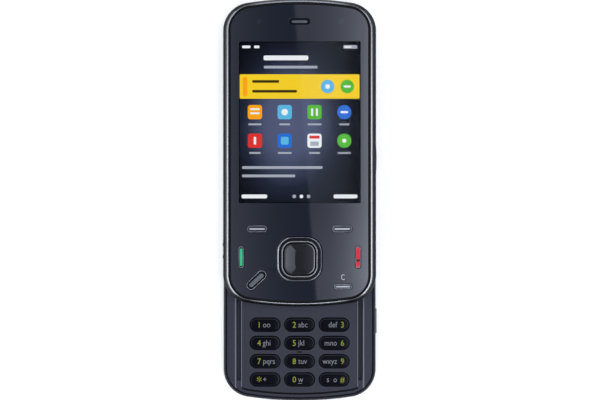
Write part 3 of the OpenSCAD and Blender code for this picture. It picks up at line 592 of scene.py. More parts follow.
def clear_insert():
    """Clear glass over the picture, seen only by what it mirrors; a painted reflection ramp across it
    sets how much of that shows, most a little right of the middle.
    """
    made, pen = start("clear_insert")
    haze = noise(pen, 16, 3)
    x, _, _ = axes(pen)
    across = x / (SCREEN_W * MM) + 0.5
    # Painted reflection: how much of the mirrored light shows, by place across
    painted_reflection_ramp = across.ramp(*((at, (v, v, v, 1)) for at, v in (
        (0.0, 0.14), (0.42, 0.4), (0.6, 1.0), (0.75, 0.76), (0.87, 0.42), (0.95, 0.17))))
    mirror = (haze * 0.2 + 0.9) * pen.node("RGBToBW", {}, {0: painted_reflection_ramp}) * 0.0135
    surface(pen, Base_Color=(0.86, 0.93, 1.0, 1), Metallic=1.0, Alpha=mirror,
            Roughness=haze * 0.012)
    return made


def circuit_board():
    """Green board with copper tracks and pads under the mask."""
    made, pen = start("circuit_board")
    tracks = pen.node("TexBrick", {"offset": 0.37}, {
        "Vector": where(pen), "Scale": 420.0, "Mortar Size": 0.035, "Color1": (0, 0, 0, 1),
        "Color2": (0.2, 0.2, 0.2, 1), "Mortar": (1, 1, 1, 1)}, out=1)
    pads = pen.node("TexVoronoi", {}, {"Vector": where(pen), "Scale": 650.0}) < 0.16
    green = blend(pen, tracks, tone(20, 84, 52), tone(52, 132, 82))
    surface(pen, Base_Color=blend(pen, pads, green, tone(212, 176, 92)),
            Metallic=pads * 0.9, Roughness=0.38 - pads * 0.1, Normal=ridges(pen, tracks, 0.4, 0.02))
    return made


def lens_coat():
    """Coated camera glass: near black with uneven violet and green casts."""
    made, pen = start("lens_coat")
    cast = noise(pen, 2.5, 1)
    surface(pen, Base_Color=blend(pen, cast, tone(18, 10, 32), tone(20, 40, 40)),
            Roughness=noise(pen, 3, 2) * 0.03 + 0.02, Coat_Weight=1.0, Coat_Roughness=0.02, IOR=1.6)
    return made


def ribbed_lamp():
    """Flash lens: warm white with fine moulded ribs."""
    made, pen = start("ribbed_lamp")
    ribs = pen.node("TexWave", {"bands_direction": "X"}, {"Vector": where(pen), "Scale": 1100.0})
    surface(pen, Base_Color=blend(pen, ribs, tone(226, 220, 176), tone(250, 248, 226)),
            Roughness=0.16 + ribs * 0.1, Normal=ridges(pen, ribs, 0.5, 0.05), Coat_Weight=0.6)
    return made


def woven_mesh(name, dark, light, size):
    """Fine punched or woven cover."""
    made, pen = start(name)
    holes = pen.node("TexVoronoi", {}, {
        "Vector": where(pen), "Scale": 1 / (size * MM), "Randomness": 0.0})
    opening = holes < 0.3
    surface(pen, Base_Color=blend(pen, opening, tone(*light), tone(*dark)), Metallic=1 - opening,
            Roughness=0.35 + opening * 0.4, Normal=ridges(pen, holes, 0.6, 0.05))
    return made


def dome_foil():
    """Clear sheet with silvery domes over a pale board."""
    made, pen = start("dome_foil")
    domes = noise(pen, 0.8, 3)
    surface(pen, Base_Color=blend(pen, domes, tone(188, 186, 180), tone(226, 226, 220)),
            Metallic=0.6, Roughness=domes * 0.15 + 0.25, Normal=ridges(pen, domes, 0.2, 0.03))
    return made


GRAPHITE = plastic("graphite_paint", (34, 36, 47), (44, 46, 58),
                   rough=0.36, grain=0.16, bump=0.2, shine=0.22)
DECK = plastic("face_plate_paint", (32, 34, 46), (43, 45, 58),
               rough=0.38, grain=0.16, bump=0.2, shine=0.2)
PANE = glossy("black_glass_print", (14, 20, 33), (17, 23, 38), rough=0.0, smear=0.012)
HIGH_FLANK = flank_painted_sheen()
LOW_FLANK = metal("flank_chrome", (48, 49, 54), (62, 63, 68), rough=0.24, along="y", bump=0.03)
# Painted shade: black band on the frame's flank
FLANK_PAINTED_SHADE = plastic("flank_painted_shade", (8, 8, 10), (14, 14, 17),
                      rough=0.4, grain=0.1, bump=0.1, shine=0.04)
BEAD_METAL = bead_metal_painted_shade()
EYE_TINT = glossy("eye_tint", (20, 27, 42), (28, 36, 52), rough=0.02, smear=0.02)
BLACK_GLOSS = glossy("black_gloss", (5, 5, 8), (10, 10, 13), rough=0.08, smear=0.05, shine=0.1)
KEY_NAVY = glossy("key_navy_gloss", (9, 10, 18), (13, 14, 23), rough=0.12, smear=0.06, shine=0.02)
# Painted highlight: grey metal line round the keys' crowns
KEY_RIM_HIGHLIGHT = metal("key_rim_painted_highlight", (52, 54, 62), (66, 68, 77), rough=0.3, along="x", bump=0.03)
RUBBER = plastic("matt_rubber", (10, 10, 12), (22, 22, 24),
                 rough=0.8, grain=0.1, bump=0.3, depth=0.03)
LIME = print_colour("lime_print", (138, 146, 34), (160, 166, 52))
PALE = print_colour("pale_print", (120, 122, 128), (142, 144, 150))
WHITE_PRINT = print_colour("white_print", (186, 190, 198), (206, 210, 218))
# Black of slots and gaps, also painted shade on the face plate's chamfers, in the shell's seam and on
# the keys' outer edges
GAP_BLACK_AND_PAINTED_SHADE = plastic("gap_black_and_painted_shade", (5, 5, 8), (10, 10, 14),
                     rough=0.55, grain=0.1, bump=0.1, shine=0.1)
# Painted highlight on the edges of the face plate's slots
SLOT_EDGE_HIGHLIGHT = plastic("slot_edge_painted_highlight", (108, 110, 122), (122, 124, 136),
                    rough=0.35, grain=0.1, bump=0.1)
EDGE_METAL = metal("edge_metal", (118, 121, 128), (146, 149, 156), rough=0.26, along="x", bump=0.04)
BAR_METAL = metal("bar_metal", (122, 124, 128), (152, 154, 158), rough=0.32, along="x", bump=0.06)
MENU_METAL = metal("menu_metal", (60, 63, 66), (84, 87, 90), rough=0.34, along="x", bump=0.06)
NAV_LIP = ring_lip()
NAV_BAND = metal("ring_band_metal", (96, 98, 102), (114, 116, 120), rough=0.24, along="x", bump=0.03)
NAV_KEY = glossy("centre_key_gloss", (2, 5, 11), (5, 8, 15), rough=0.0, smear=0.015, shine=0.85)
CALL_GREEN = print_colour("call_green", (36, 178, 122), (62, 198, 142))
END_RED = print_colour("end_red", (198, 26, 44), (222, 46, 62))
SIDE_GREY = plastic("side_key_grey", (66, 69, 78), (80, 83, 92), rough=0.42, grain=0.1, bump=0.2)
KNOB_BLACK = plastic("knob_black", (12, 12, 15), (20, 20, 24),
                     rough=0.5, grain=0.1, bump=0.2, shine=0.1)
SIDE_BLACK = plastic("side_key_black", (22, 23, 28), (34, 35, 40), rough=0.42, grain=0.1, bump=0.2)
COVER_BLACK = plastic("cover_grain", (26, 27, 32), (38, 39, 45),
                      rough=0.5, grain=0.25, bump=0.5, depth=0.04)
REAR_PAINT = plastic("rear_plate_paint", (44, 46, 56), (54, 56, 67), rough=0.4, grain=0.1, bump=0.15)
STAND_METAL = metal("stand_metal", (118, 120, 126), (142, 144, 150), rough=0.26, along="y", bump=0.08)
STEEL = metal("drawn_steel", (150, 152, 156), (180, 182, 186), rough=0.3, along="y")
RAIL_BLACK = plastic("rail_black", (44, 46, 57), (54, 56, 68),
                     rough=0.5, grain=0.1, bump=0.1, shine=0.1)
MODULE = plastic("moulded_black", (26, 27, 30), (42, 43, 46), rough=0.5, grain=0.15, bump=0.3)
CELL = plastic("wrapped_cell", (60, 66, 74), (74, 80, 88), rough=0.35, grain=0.2, bump=0.1)
SCREEN_BLACK = plastic("screen_frame", (8, 10, 14), (14, 16, 20), rough=0.3, grain=0.2, bump=0.05)
BOARD = circuit_board()
LENS = lens_coat()
LAMP = ribbed_lamp()
MESH_GREY = woven_mesh("ear_mesh", (34, 36, 40), (72, 75, 81), size=0.16)
MESH_BLACK = woven_mesh("speaker_mesh", (6, 6, 8), (66, 68, 74), size=0.3)
FOIL = dome_foil()

# Solids that are shown as they are
KEPT = {
    "slide_rails": RAIL_BLACK, "battery": CELL, "main_board": BOARD, "dome_sheet": FOIL,
    "camera_module": MODULE, "camera_glass": LENS, "flash_lamps": LAMP, "loudspeakers": MODULE,
    "vibration_motor": STEEL, "usb_socket": STEEL, "housing_screws": STEEL,
    "slide_runners": STEEL, "window_gasket": RUBBER, "display_module": SCREEN_BLACK,
    "face_board": BOARD, "earpiece_speaker": MODULE, "front_camera": LENS, "nav_pad": RUBBER,
}
for node, finish in KEPT.items():
    for slot in frame["nodes"][node].material_slots:
        slot.material = finish


# ---------------------------------------------------------------- the halves


def arched_outline():
    """Points round the outline both halves share: arched ends and round corners."""
    corner_steps, end_steps = 20, 18
    side, arch_y = HALF_W - CORNER_R, HALF_L - ARCH_R
    rise = math.sqrt((ARCH_R - CORNER_R) ** 2 - side ** 2)
    turn = math.atan2(rise, side)

    def sweep(cx, cy, r, a, b, n):
        return [(cx + r * math.cos(a + (b - a) * i / n), cy + r * math.sin(a + (b - a) * i / n))
                for i in range(n + 1)]

    half = (sweep(side, arch_y + rise, CORNER_R, 0, turn, corner_steps)
            + sweep(0, arch_y, ARCH_R, turn, math.pi - turn, end_steps)[1:-1]
            + sweep(-side, arch_y + rise, CORNER_R, math.pi - turn, math.pi, corner_steps))
    return half + [(-x, -y) for x, y in half]


# Sections of the frame, from its greatest outline: inset from the side, inset from
# the end and height over the half's underside
FRAME_UP = [
    (0, 0, 4.6), (0.08, 0.06, 5.1), (0.2, 0.15, 5.6), (0.42, 0.3, 6.05), (0.76, 0.52, 6.4),
    (1.08, 0.7, 6.64), (1.3, 0.84, 6.8), (1.34, 0.87, 6.92), (1.42, 0.92, 7.03),
    (1.52, 0.99, 7.09), (1.62, 1.06, 7.1), (1.72, 1.13, 7.07), (1.81, 1.2, 6.98),
    (1.86, 1.24, 6.84), (1.92, 1.29, 6.76), (2.0, 1.36, 6.7), (2.05, 1.41, 6.58),
    (2.05, 1.41, 5.9), (3.3, 2.66, 5.9), (3.3, 2.66, 5.3),
]
FRAME_DOWN = [
    (0, 0, 1), (0.03, 0.03, 0.7), (0.1, 0.1, 0.4), (0.25, 0.25, 0.15), (0.5, 0.5, 0),
    (1.25, 1.25, 0), (1.25, 1.25, 5),
]


def follow(levels):
    """Draws the selected face in through the levels of a section."""
    for (side, end, z), (side_to, end_to, z_to) in zip(levels, levels[1:]):
        width = end_to - end
        if width > 0:
            inset(width)
            across = (HALF_W - side_to) / (HALF_W - side - width)
            bpy.ops.transform.resize(value=(across, 1, 1), center_override=(0, TRAVEL * MM, 0))
            lift(z_to - z)
        else:
            push(z_to - z)


def bezel():
    """Frame round the face: dark flank with a band of painted shade and a painted sheen rising to the
    bright bead, black groove inside it.
    """
    points = arched_outline()
    foot, top = FRAME_DOWN[0][2], FRAME_UP[0][2]
    fresh()
    bpy.ops.mesh.primitive_circle_add(vertices=len(points), radius=HALF_W * MM, fill_type="NGON")
    obj = bpy.context.object
    for vert, (x, y) in zip(obj.data.vertices, points):
        vert.co = (x * MM, (y + TRAVEL) * MM, (SLIDE_Z + foot) * MM)
    edit(obj)
    push(top - foot)
    tidy_normals()
    for up, section in ((1, FRAME_UP), (-1, FRAME_DOWN)):
        pick_end(up)
        follow(section)
        bpy.ops.mesh.delete(type="FACE")
    bridge_openings()
    smooth(obj, 32)
    low_top, painted_shade_top, groove_foot, bead_foot, bead_shoulder = 4.7, 6.02, 5.95, 6.82, 6.75
    bead_in, ends_from = 1.8, 40

    def zone(face):
        """Bands of the flank by height, the black one painted shade, then the bead, and the groove
        inside it.
        """
        x, y = abs(face.center.x) / MM, abs(face.center.y / MM - TRAVEL)
        z = face.center.z / MM - SLIDE_Z
        outside = x > HALF_W - bead_in or y > ends_from
        if z > bead_foot and face.normal.z > 0.1:
            return BEAD_METAL
        if z < painted_shade_top and outside:
            # In the middle band the flank is painted black as painted shade
            return LOW_FLANK if z < low_top else FLANK_PAINTED_SHADE
        rising = z < bead_shoulder and face.normal.z > 0.2 and outside
        return BLACK_GLOSS if z > groove_foot and not rising else HIGH_FLANK

    paint(obj, [HIGH_FLANK, BEAD_METAL, BLACK_GLOSS, FLANK_PAINTED_SHADE, LOW_FLANK], zone)
    finished(obj, "bezel", "screen_half", "bezel", "bezel_frame")


def screen_block(name, margin, z0, z1):
    """Block as large as the lit screen and a margin."""
    return rounded_block(name, SCREEN_W + margin, SCREEN_L + margin, SCREEN_R, z0, z1, 3)


def face_pane():
    """Printed pane over the whole face, with the screen's clear insert let in."""
    pane = from_solid("front_window", "face_pane", 1.0)
    hole = screen_block("hole", 0, PANE_BACK - 1, PANE_TOP + 1)
    cut(pane, place(hole, 0, SCREEN_Y))
    soften(pane, 0.09, 50)
    paint(pane, [PANE])
    finished(pane, "face_pane", "screen_half", "window", "front_window")
    insert = screen_block("insert", 0, INSERT_Z, PANE_TOP)
    shape_top(insert, [(0.08, 0.0)])
    place(insert, 0, SCREEN_Y)
    paint(insert, [clear_insert()])
    finished(insert, "screen_insert", "screen_half", "screen")


def keypad_shell():
    """Rear shell, painted black in the seam round the face plate as painted shade."""
    shell = from_solid("base_shell", "shell")
    smooth(shell, 28)

    def seam(face):
        """The seam's wall looks inwards, and the inner part of the rim lies flat; both are painted
        black as painted shade.
        """
        inward = face.normal.x * face.center.x + face.normal.y * face.center.y < 0
        in_seam = SEAM_LOW * MM < face.center.z < SEAM_HIGH * MM
        return GAP_BLACK_AND_PAINTED_SHADE if in_seam and (inward or face.normal.z > 0.995) else GRAPHITE

    paint(shell, [GRAPHITE, GAP_BLACK_AND_PAINTED_SHADE], seam)
    finished(shell, "shell", "keypad_half", "shell", "base_shell")


def at_slot_edge(edge, side):
    """The upper long edges of the two slots in the face plate: 1 outer, -1 inner."""
    near = 0.05
    return all(abs((abs(v.co.x) / MM - SLOT_X) * side - SLOT_HALF_W) < near
               and v.co.z > (DECK_TOP - near) * MM and abs(v.co.y) < SLOT_REACH * MM
               for v in edge.verts)


def face_plate():
    """Plate round the number keys, its two slots with a wider outer and a finer inner edge."""
    deck = from_solid("keypad_deck", "face_plate")
    edit(deck)
    for side, width in ((1, 0.56), (-1, 0.3)):
        pick("EDGE", lambda e: at_slot_edge(e, side))
        bpy.ops.mesh.bevel(offset=width * MM, segments=2, affect="EDGES")
    fresh()
    soften(deck, 0.27, 50)

    def zone(face):
        """Painted highlight on the slots' edges; painted shade, in black, in the seam, the crease and
        round the keys.
        """
        x, y, z = abs(face.center.x) / MM, abs(face.center.y) / MM, face.center.z / MM
        if abs(x - SLOT_X) < 2 * SLOT_HALF_W and y < SLOT_REACH - 0.5:
            sloping = 0.3 < face.normal.z < 0.97 and abs(face.normal.x) > 0.2
            return SLOT_EDGE_HIGHLIGHT if sloping else DECK
        # Off the flat top, outside the slots, the plate is painted black as painted shade
        return DECK if face.normal.z > 0.98 and abs(z - DECK_TOP) < 0.02 else GAP_BLACK_AND_PAINTED_SHADE

    paint(deck, [DECK, GAP_BLACK_AND_PAINTED_SHADE, SLOT_EDGE_HIGHLIGHT], zone)
    finished(deck, "face_plate", "keypad_half", "face_plate", "keypad_deck")


bezel()
face_pane()
keypad_shell()
face_plate()

# ---------------------------------------------------------------- lit picture

# Each colour of the picture and its dimmer dot rows
GLOWS = {
    "white": ((236, 240, 244), (180, 184, 190)), "grey": ((166, 172, 184), (130, 136, 148)),
    "yellow": ((244, 206, 40), (214, 172, 20)), "amber": ((250, 164, 24), (210, 120, 10)),
    "blue": ((44, 110, 214), (24, 76, 168)), "sky": ((92, 182, 226), (60, 146, 196)),
    "green": ((86, 184, 54), (56, 142, 32)), "red": ((220, 52, 46), (176, 30, 30)),
    "ink": ((58, 50, 18), (40, 34, 12)),
}
LIT = {name: lit("lit_" + name, *colours) for name, colours in GLOWS.items()}

# Height of the first tile, and how much higher each of the next ones is
TILE_T = 0.01
TILE_STEP = 0.0008
# Columns of small tiles, and by height the widths of the labels under them
COLUMNS = (-15.0, -5.0, 5.0, 15.0)
LABELS = {-0.7: (4.4, 3.6, 4.6, 3.4), -10.3: (3.8, 4.6, 3.6, 4.4)}
# Tiles of the picture: colour, middle across and up, width, length, corner
TILES = [
    ("yellow", 0, 12.0, 40.2, 8.2, 0.4), ("amber", -18.3, 12.0, 1.5, 6.4, 0.4),
    ("ink", -11.4, 13.7, 9.0, 0.9, 0.3), ("ink", -8.4, 10.4, 15.0, 0.9, 0.3),
    ("sky", 9.4, 12.0, 4.6, 4.6, 2.29), ("green", 16.0, 12.0, 4.6, 4.6, 2.29),
    ("white", 9.4, 12.0, 1.6, 1.6, 0.79), ("white", 16.0, 12.0, 2.4, 0.7, 0.3),
    ("white", -17.9, 25.3, 2.8, 0.9, 0.3), ("white", -14.4, 25.3, 1.8, 0.9, 0.3),
    ("grey", 17.0, 25.3, 4.6, 1.2, 0.3), ("white", 16.2, 25.3, 2.4, 0.6, 0.2),
    ("white", -4.6, 21.6, 15.0, 1.6, 0.5), ("grey", -3.0, 18.5, 18.0, 0.9, 0.3),
    ("amber", -15.0, 3.4, 4.8, 4.8, 0.9), ("white", -15.0, 4.4, 3.2, 0.6, 0.2),
    ("white", -15.0, 3.0, 3.2, 0.6, 0.2), ("sky", -5.0, 3.4, 4.8, 4.8, 0.9),
    ("white", -5.0, 3.4, 2.2, 2.2, 1.09), ("green", 5.0, 3.4, 4.8, 4.8, 0.9),
    ("white", 4.2, 3.4, 0.7, 2.6, 0.3), ("white", 5.8, 3.4, 0.7, 2.6, 0.3),
    ("blue", 15.0, 3.4, 4.8, 4.8, 2.39), ("white", 15.0, 3.4, 2.6, 0.7, 0.3),
    ("red", -15.0, -6.2, 4.8, 4.8, 0.9), ("white", -15.0, -6.2, 0.8, 2.6, 0.3),
    ("blue", -5.0, -6.2, 4.8, 4.8, 0.9), ("sky", -5.0, -6.2, 2.6, 2.6, 0.5),
    ("white", 5.0, -6.2, 4.8, 4.8, 0.9), ("red", 5.0, -5.0, 3.4, 1.0, 0.2),
    ("grey", 5.0, -7.2, 2.8, 1.4, 0.2), ("green", 15.0, -6.2, 4.8, 4.8, 2.39),
    ("white", 15.0, -6.2, 1.4, 1.4, 0.69),
    *(("grey", x, y, w, 0.6, 0.2) for y, widths in LABELS.items() for x, w in zip(COLUMNS, widths)),
    ("grey", -5.8, -15.2, 27.0, 0.9, 0.3), ("grey", -10.4, -18.0, 17.8, 0.9, 0.3),
    ("white", -15.2, -24.9, 8.6, 1.3, 0.5), ("white", 15.4, -24.9, 8.0, 1.3, 0.5),
    ("grey", -1.8, -24.9, 1.2, 1.2, 0.59), ("white", 0.6, -24.9, 1.2, 1.2, 0.59),
    ("grey", 3.0, -24.9, 1.2, 1.2, 0.59),
]


def tile(rank, colour, x, y, w, l, r):
    """One rounded tile, hardly thicker than print; a later one stands a little higher."""
    fresh()
    bpy.ops.mesh.primitive_plane_add(size=1)
    obj = bpy.context.object
    obj.scale = (w * MM, l * MM, 1)
    obj.location = (x * MM, (SCREEN_Y + y) * MM, (SCREEN_Z + GROUND_T) * MM)
    apply_place(obj)
    edit(obj)
    bpy.ops.mesh.bevel(offset=r * MM, segments=5, affect="VERTICES")
    bpy.ops.mesh.select_all(action="SELECT")
    push(TILE_T + TILE_STEP * rank)
    tidy_normals()
    fresh()
    paint(obj, [LIT[colour]])
    return obj


def lit_picture():
    """Ground of the picture, then one piece for the tiles of each colour."""
    ground = screen_block("ground", GROUND_MARGIN, SCREEN_Z, SCREEN_Z + GROUND_T)
    place(ground, 0, SCREEN_Y)
    paint(ground, [screen_ground()])
    finished(ground, "screen_ground", "screen_half", "screen")
    for colour in LIT:
        tiles = [tile(rank, *t) for rank, t in enumerate(TILES) if t[0] == colour]
        finished(join(tiles, colour), "screen_" + colour, "screen_half", "screen")


lit_picture()

# ---------------------------------------------------------------- keys


def flanged(l, w, foot, top):
    """Oval cap that rises from a wider flange, left in edit mode with its top face picked."""
    margin = KEY_GAP + KEY_FLANGE
    cap = oval("cap", l + 2 * margin, w + 2 * margin, foot, foot + KEY_FLANGE, 10)
    edit(cap)
    pick_end()
    inset(margin)
    push(top - foot - KEY_FLANGE)
    return cap


def crowned_cap(l, w):
    """Oval cap of the keypad half, with a rolled edge and a low crown."""
    rolled_edge = [(0.03, 0.12), (0.08, 0.07), (0.1, 0.03), (0.12, 0.0)]
    low_crown = [(0.14, -0.1), (0.3, 0.05), (0.35, 0.03), (0.4, 0.01)]
    crest, line = 0.24, 0.46
    l, w = l - 2 * KEY_GAP, w - 2 * KEY_GAP
    cap = flanged(l, w, CAP_FOOT, CAP_TOP - 0.3)
    draw_in(rolled_edge + low_crown)
    fresh()
    smooth(cap, 30)

    def zone(face):
        """Black outside the crest as painted shade, a thin grey metal line inside it as a painted
        highlight, navy on the crown.
        """
        x, y = abs(face.center.x) / MM, abs(face.center.y) / MM
        inside = w / 2 - math.hypot(max(0, x - (l - w) / 2), y)
        if inside < crest:
            return GAP_BLACK_AND_PAINTED_SHADE
        return KEY_RIM_HIGHLIGHT if inside < line and face.normal.z < 0.98 else KEY_NAVY

    paint(cap, [KEY_NAVY, KEY_RIM_HIGHLIGHT, GAP_BLACK_AND_PAINTED_SHADE], zone)
    return cap


LEGENDS = {
    "1": ("1", "oo"), "2": ("2", "abc"), "3": ("3", "def"), "4": ("4", "ghi"), "5": ("5", "jkl"),
    "6": ("6", "mno"), "7": ("7", "pqrs"), "8": ("8", "tuv"), "9": ("9", "wxyz"),
    "star": ("*", "+"), "0": ("0", "w"), "hash": ("#", "s  o"),
}
# By column: digit and letters from the cap's middle, and how the letters are aligned
PRINT_AT = {-1: (-2.0, -0.8, "LEFT"), 0: (-1.8, -0.5, "LEFT"), 1: (2.8, 1.0, "RIGHT")}
MIDDLE_HALF_W = 5


def number_keys():
    """Twelve copies of one cap, each with its printed digit and letters."""
    first = crowned_cap(NUMBER_L, NUMBER_W)
    for sign, (digit, letters) in LEGENDS.items():
        node = "key_" + sign
        x, y = middle_of(node)
        cap = first.copy()
        cap.data = first.data.copy()
        bpy.context.scene.collection.objects.link(cap)
        finished(place(cap, x, y), "cap_" + sign, node, "key_black", node)
        digit_x, letters_x, side = PRINT_AT[(x > MIDDLE_HALF_W) - (x < -MIDDLE_HALF_W)]
        digit_drop, digit_size = (2.2, 4.5) if sign == "star" else (0.98, 2.8)
        prints = [("digit", digit, digit_x, digit_drop, digit_size, 0.92, LIME, "CENTER"),
                  ("letters", letters, letters_x, 0.9, 2.7, 0.88, PALE, side)]
        if sign == "0":
            prints.append(("line", "_", letters_x, 1.0, 3.4, 0.8, PALE, side))
        for kind, words, across, drop, size, squeeze, finish, align in prints:
            text = writing(kind, words, x + across, y - drop, PRINT_Z, size, squeeze, finish,
                           align=align)
            finished(text, kind + "_" + sign, node, "key_black")
    bpy.data.objects.remove(first)


def mark(corners):
    """A small printed triangle that points right, or a small square."""
    turn, squeeze = {3: (-90, 0.8), 4: (45, 1)}[corners]
    fresh()
    bpy.ops.mesh.primitive_circle_add(vertices=corners, radius=0.75 * MM, fill_type="NGON")
    obj = bpy.context.object
    place(obj, 0, 0, turn)
    obj.location.z = (DECK_TOP + 0.03) * MM
    obj.scale.x = squeeze
    apply_place(obj)
    edit(obj)
    push(PRINT_T)
    tidy_normals()
    fresh()
    paint(obj, [PALE])
    return obj


# Marks of each media key: corners, place across, turn
PLAYER_MARKS = {
    "rewind": [(3, -0.6, 180), (3, 0.5, 180)], "play": [(3, -0.6, 0), (4, 0.9, 0)],
    "stop": [(4, 0, 0)], "forward": [(3, -0.5, 0), (3, 0.6, 0)],
}


def media_keys():
    """Four caps under the screen half's upper end, with the usual player marks."""
    for sign, marks in PLAYER_MARKS.items():
        node = "media_" + sign
        x, y = middle_of(node)
        cap = crowned_cap(MEDIA_L, MEDIA_W)
        finished(place(cap, x, y), "cap_" + sign, node, "key_black", node)
        made = [place(mark(corners), x + across, y, turn) for corners, across, turn in marks]
        finished(join(made, "mark"), "mark_" + sign, node, "key_black")


# Keys in the pane: piece, node, slot, middle across and up, turn, length, width, raised
# bars (place along, length, width) and their finish
FACE_KEYS = [
    ("soft_bar_left", "soft_key_left", "key_grey", -14.28, -25.6, 0, 6.9, 2.5,
     [(0, 5.3, 0.72)], BAR_METAL),
    ("soft_bar_right", "soft_key_right", "key_grey", 14.28, -25.6, 0, 6.9, 2.5,
     [(0, 5.3, 0.72)], BAR_METAL),
    ("call_bar", "call_key", "key_green", -19.6, -35.1, 90, 7.6, 2, [(0, 5.9, 0.9)], CALL_GREEN),
    ("end_bar", "end_key", "key_red", 19.6, -35.1, 90, 7.6, 2,
     [(1.25, 4.2, 1.45), (-2.35, 2.1, 1.45)], END_RED),
    ("menu_bar", "menu_key", "key_grey", -14.5, -42.8, 43, 8.4, 3.4, [(0, 6.3, 1.6)], MENU_METAL),
    ("clear_bar", "clear_key", "key_grey", 14.5, -44.94, 0, 6.3, 2.1, [(0, 4.9, 0.68)], BAR_METAL),
]


def face_key(name, node, slot, x, y, turn, l, w, bars, finish):
    """Key in an opening of the pane: bright edge, black trough and raised bars."""
    foot, top = PANE_BACK - 0.4, PANE_TOP - 0.1
    edge_and_trough = [(0.05, 0.06), (0.1, 0.0), (0.05, -0.2)]
    bar_crown = [(0.05, 0.06), (0.08, 0.03), (0.1, 0.0)]
    cap = flanged(l - 2 * KEY_GAP, w - 2 * KEY_GAP, foot, top - 0.06)
    draw_in(edge_and_trough)
    fresh()
    smooth(cap, 40)

    def zone(face):
        on_edge = face.center.z > (top - 0.1) * MM and face.normal.z > 0.3
        return EDGE_METAL if on_edge else GAP_BLACK_AND_PAINTED_SHADE

    paint(cap, [GAP_BLACK_AND_PAINTED_SHADE, EDGE_METAL], zone)
    made = [cap]
    for along, bar_l, bar_w in bars:
        bar = oval("bar", bar_l, bar_w, top - 0.3, PANE_TOP + 0.06, 8)
        shape_top(bar, bar_crown)
        smooth(bar, 50)
        paint(bar, [finish])
        made.append(place(bar, along, 0))
    key = join(made, name)
    finished(place(key, x, y + TRAVEL, turn), name, node, slot, node)


def clear_letter():
    """The letter printed on the pane over the clear key."""
    x, y, size, squeeze = 14.5, -42.7 + TRAVEL, 2.7, 0.72
    letter = writing("letter", "C", x, y, PANE_TOP + 0.01, size, squeeze, WHITE_PRINT, PRINT_T / 2)
    finished(letter, "clear_letter", "screen_half", "window")


def nav_ring():
    """Four-way ring: raised lip, black groove and a raised band round the hole."""
    lip = [(0.07, 0.08), (0.12, 0.06), (0.17, 0.03), (0.12, -0.04), (0.08, -0.22)]
    groove = [(0.73, 0.0)]
    band = [(0.06, 0.24), (0.08, 0.07), (0.12, 0.05), (0.2, 0.02), (0.14, -0.05), (0.06, -0.1)]
    wall_at_foot, lip_w = 2.02, 0.6
    ring = rounded_block("ring", NAV_W, NAV_W, NAV_R, NAV_FOOT, NAV_TOP, 14)
    edit(ring)
    pick_end()
    draw_in(lip + groove + band)
    push(NAV_FOOT - NAV_TOP + 0.04)
    bpy.ops.mesh.delete(type="FACE")
    pick_end(-1)
    inset(wall_at_foot)
    bpy.ops.mesh.delete(type="FACE")
    bridge_openings()
    fresh()
    smooth(ring, 40)

    def zone(face):
        if face.center.z < (NAV_TOP - 0.04) * MM:
            return BLACK_GLOSS
        out = max(abs(face.center.x), abs(face.center.y)) / MM
        return NAV_LIP if out > NAV_W / 2 - lip_w else NAV_BAND

    paint(ring, [NAV_LIP, NAV_BAND, BLACK_GLOSS], zone)
    finished(place(ring, 0, NAV_Y), "direction_ring", "nav_ring", "nav", "nav_ring")


def ring_skirt():
    """Black skirt on the board round the ring's pad, below the ring's lowest reach."""
    outer, inner = NAV_W + 2, NAV_W - 0.5
    skirt = rounded_block("skirt", outer, outer, NAV_R + 1, NAV_FOOT - 0.69, NAV_FOOT - 0.5, 14)
    cut(skirt, rounded_block("hole", inner, inner, NAV_R - 0.2, NAV_FOOT - 1, NAV_FOOT, 14))
    paint(skirt, [RUBBER])
    finished(place(skirt, 0, NAV_Y), "ring_skirt", "screen_half", "gasket")


def centre_key():
    """Polished key in the ring, dished a little to the fingertip."""
    top = SLIDE_Z + SLIDE_T
    rolled_edge = [(0.05, 0.1), (0.08, 0.05), (0.1, 0.01)]
    key = rounded_block("key", CENTRE_W, CENTRE_W, CENTRE_R, CENTRE_FOOT, top - 0.16, 14)
    edit(key)
    pick_end()
    draw_in(rolled_edge)
    half = CENTRE_W / 2 - 0.23
    last_x, last_y, dish_r, rings = 1.2, 2.8, 310, 12
    across, along = half, half
    for i in range(1, rings + 1):
        to_x = half + (last_x - half) * i / rings
        to_y = half + (last_y - half) * i / rings
        bpy.ops.mesh.extrude_region_move()
        bpy.ops.transform.resize(value=(to_x / across, to_y / along, 1))
        lift((to_x ** 2 - across ** 2) / (2 * dish_r))
        across, along = to_x, to_y
    tidy_normals()
    fresh()
    smooth(key, 40)

    def zone(face):
        return NAV_KEY if face.normal.z > 0.97 and face.center.z > (top - 0.1) * MM else GAP_BLACK_AND_PAINTED_SHADE

    paint(key, [NAV_KEY, GAP_BLACK_AND_PAINTED_SHADE], zone)
    finished(place(key, 0, NAV_Y), "centre_cap", "centre_key", "nav", "centre_key")


number_keys()
media_keys()
for key in FACE_KEYS:
    face_key(*key)
clear_letter()
nav_ring()
ring_skirt()
centre_key()

# ---------------------------------------------------------------- small pieces


def earpiece():
    """Slot with a rounded rim and a meshed bar sunk in it."""
    rim_and_well = [(0.08, 0.08), (0.1, 0.0), (0.12, -0.3)]
    low_crown = [(0.1, 0.08), (0.12, 0.03)]
    slot = oval("slot", EAR_L, EAR_W, PANE_BACK, PANE_TOP - 0.2, 10)
    shape_top(slot, rim_and_well)
    smooth(slot, 40)
    paint(slot, [GAP_BLACK_AND_PAINTED_SHADE])
    bar = oval("bar", MESH_L, MESH_W, PANE_TOP - 0.5, PANE_TOP - 0.22, 8)
    shape_top(bar, low_crown)
    smooth(bar, 50)
    paint(bar, [MESH_GREY])
    whole = join([slot, bar], "earpiece")
    finished(place(whole, 0, EAR_Y), "earpiece", "screen_half", "grille", "earpiece_grille")


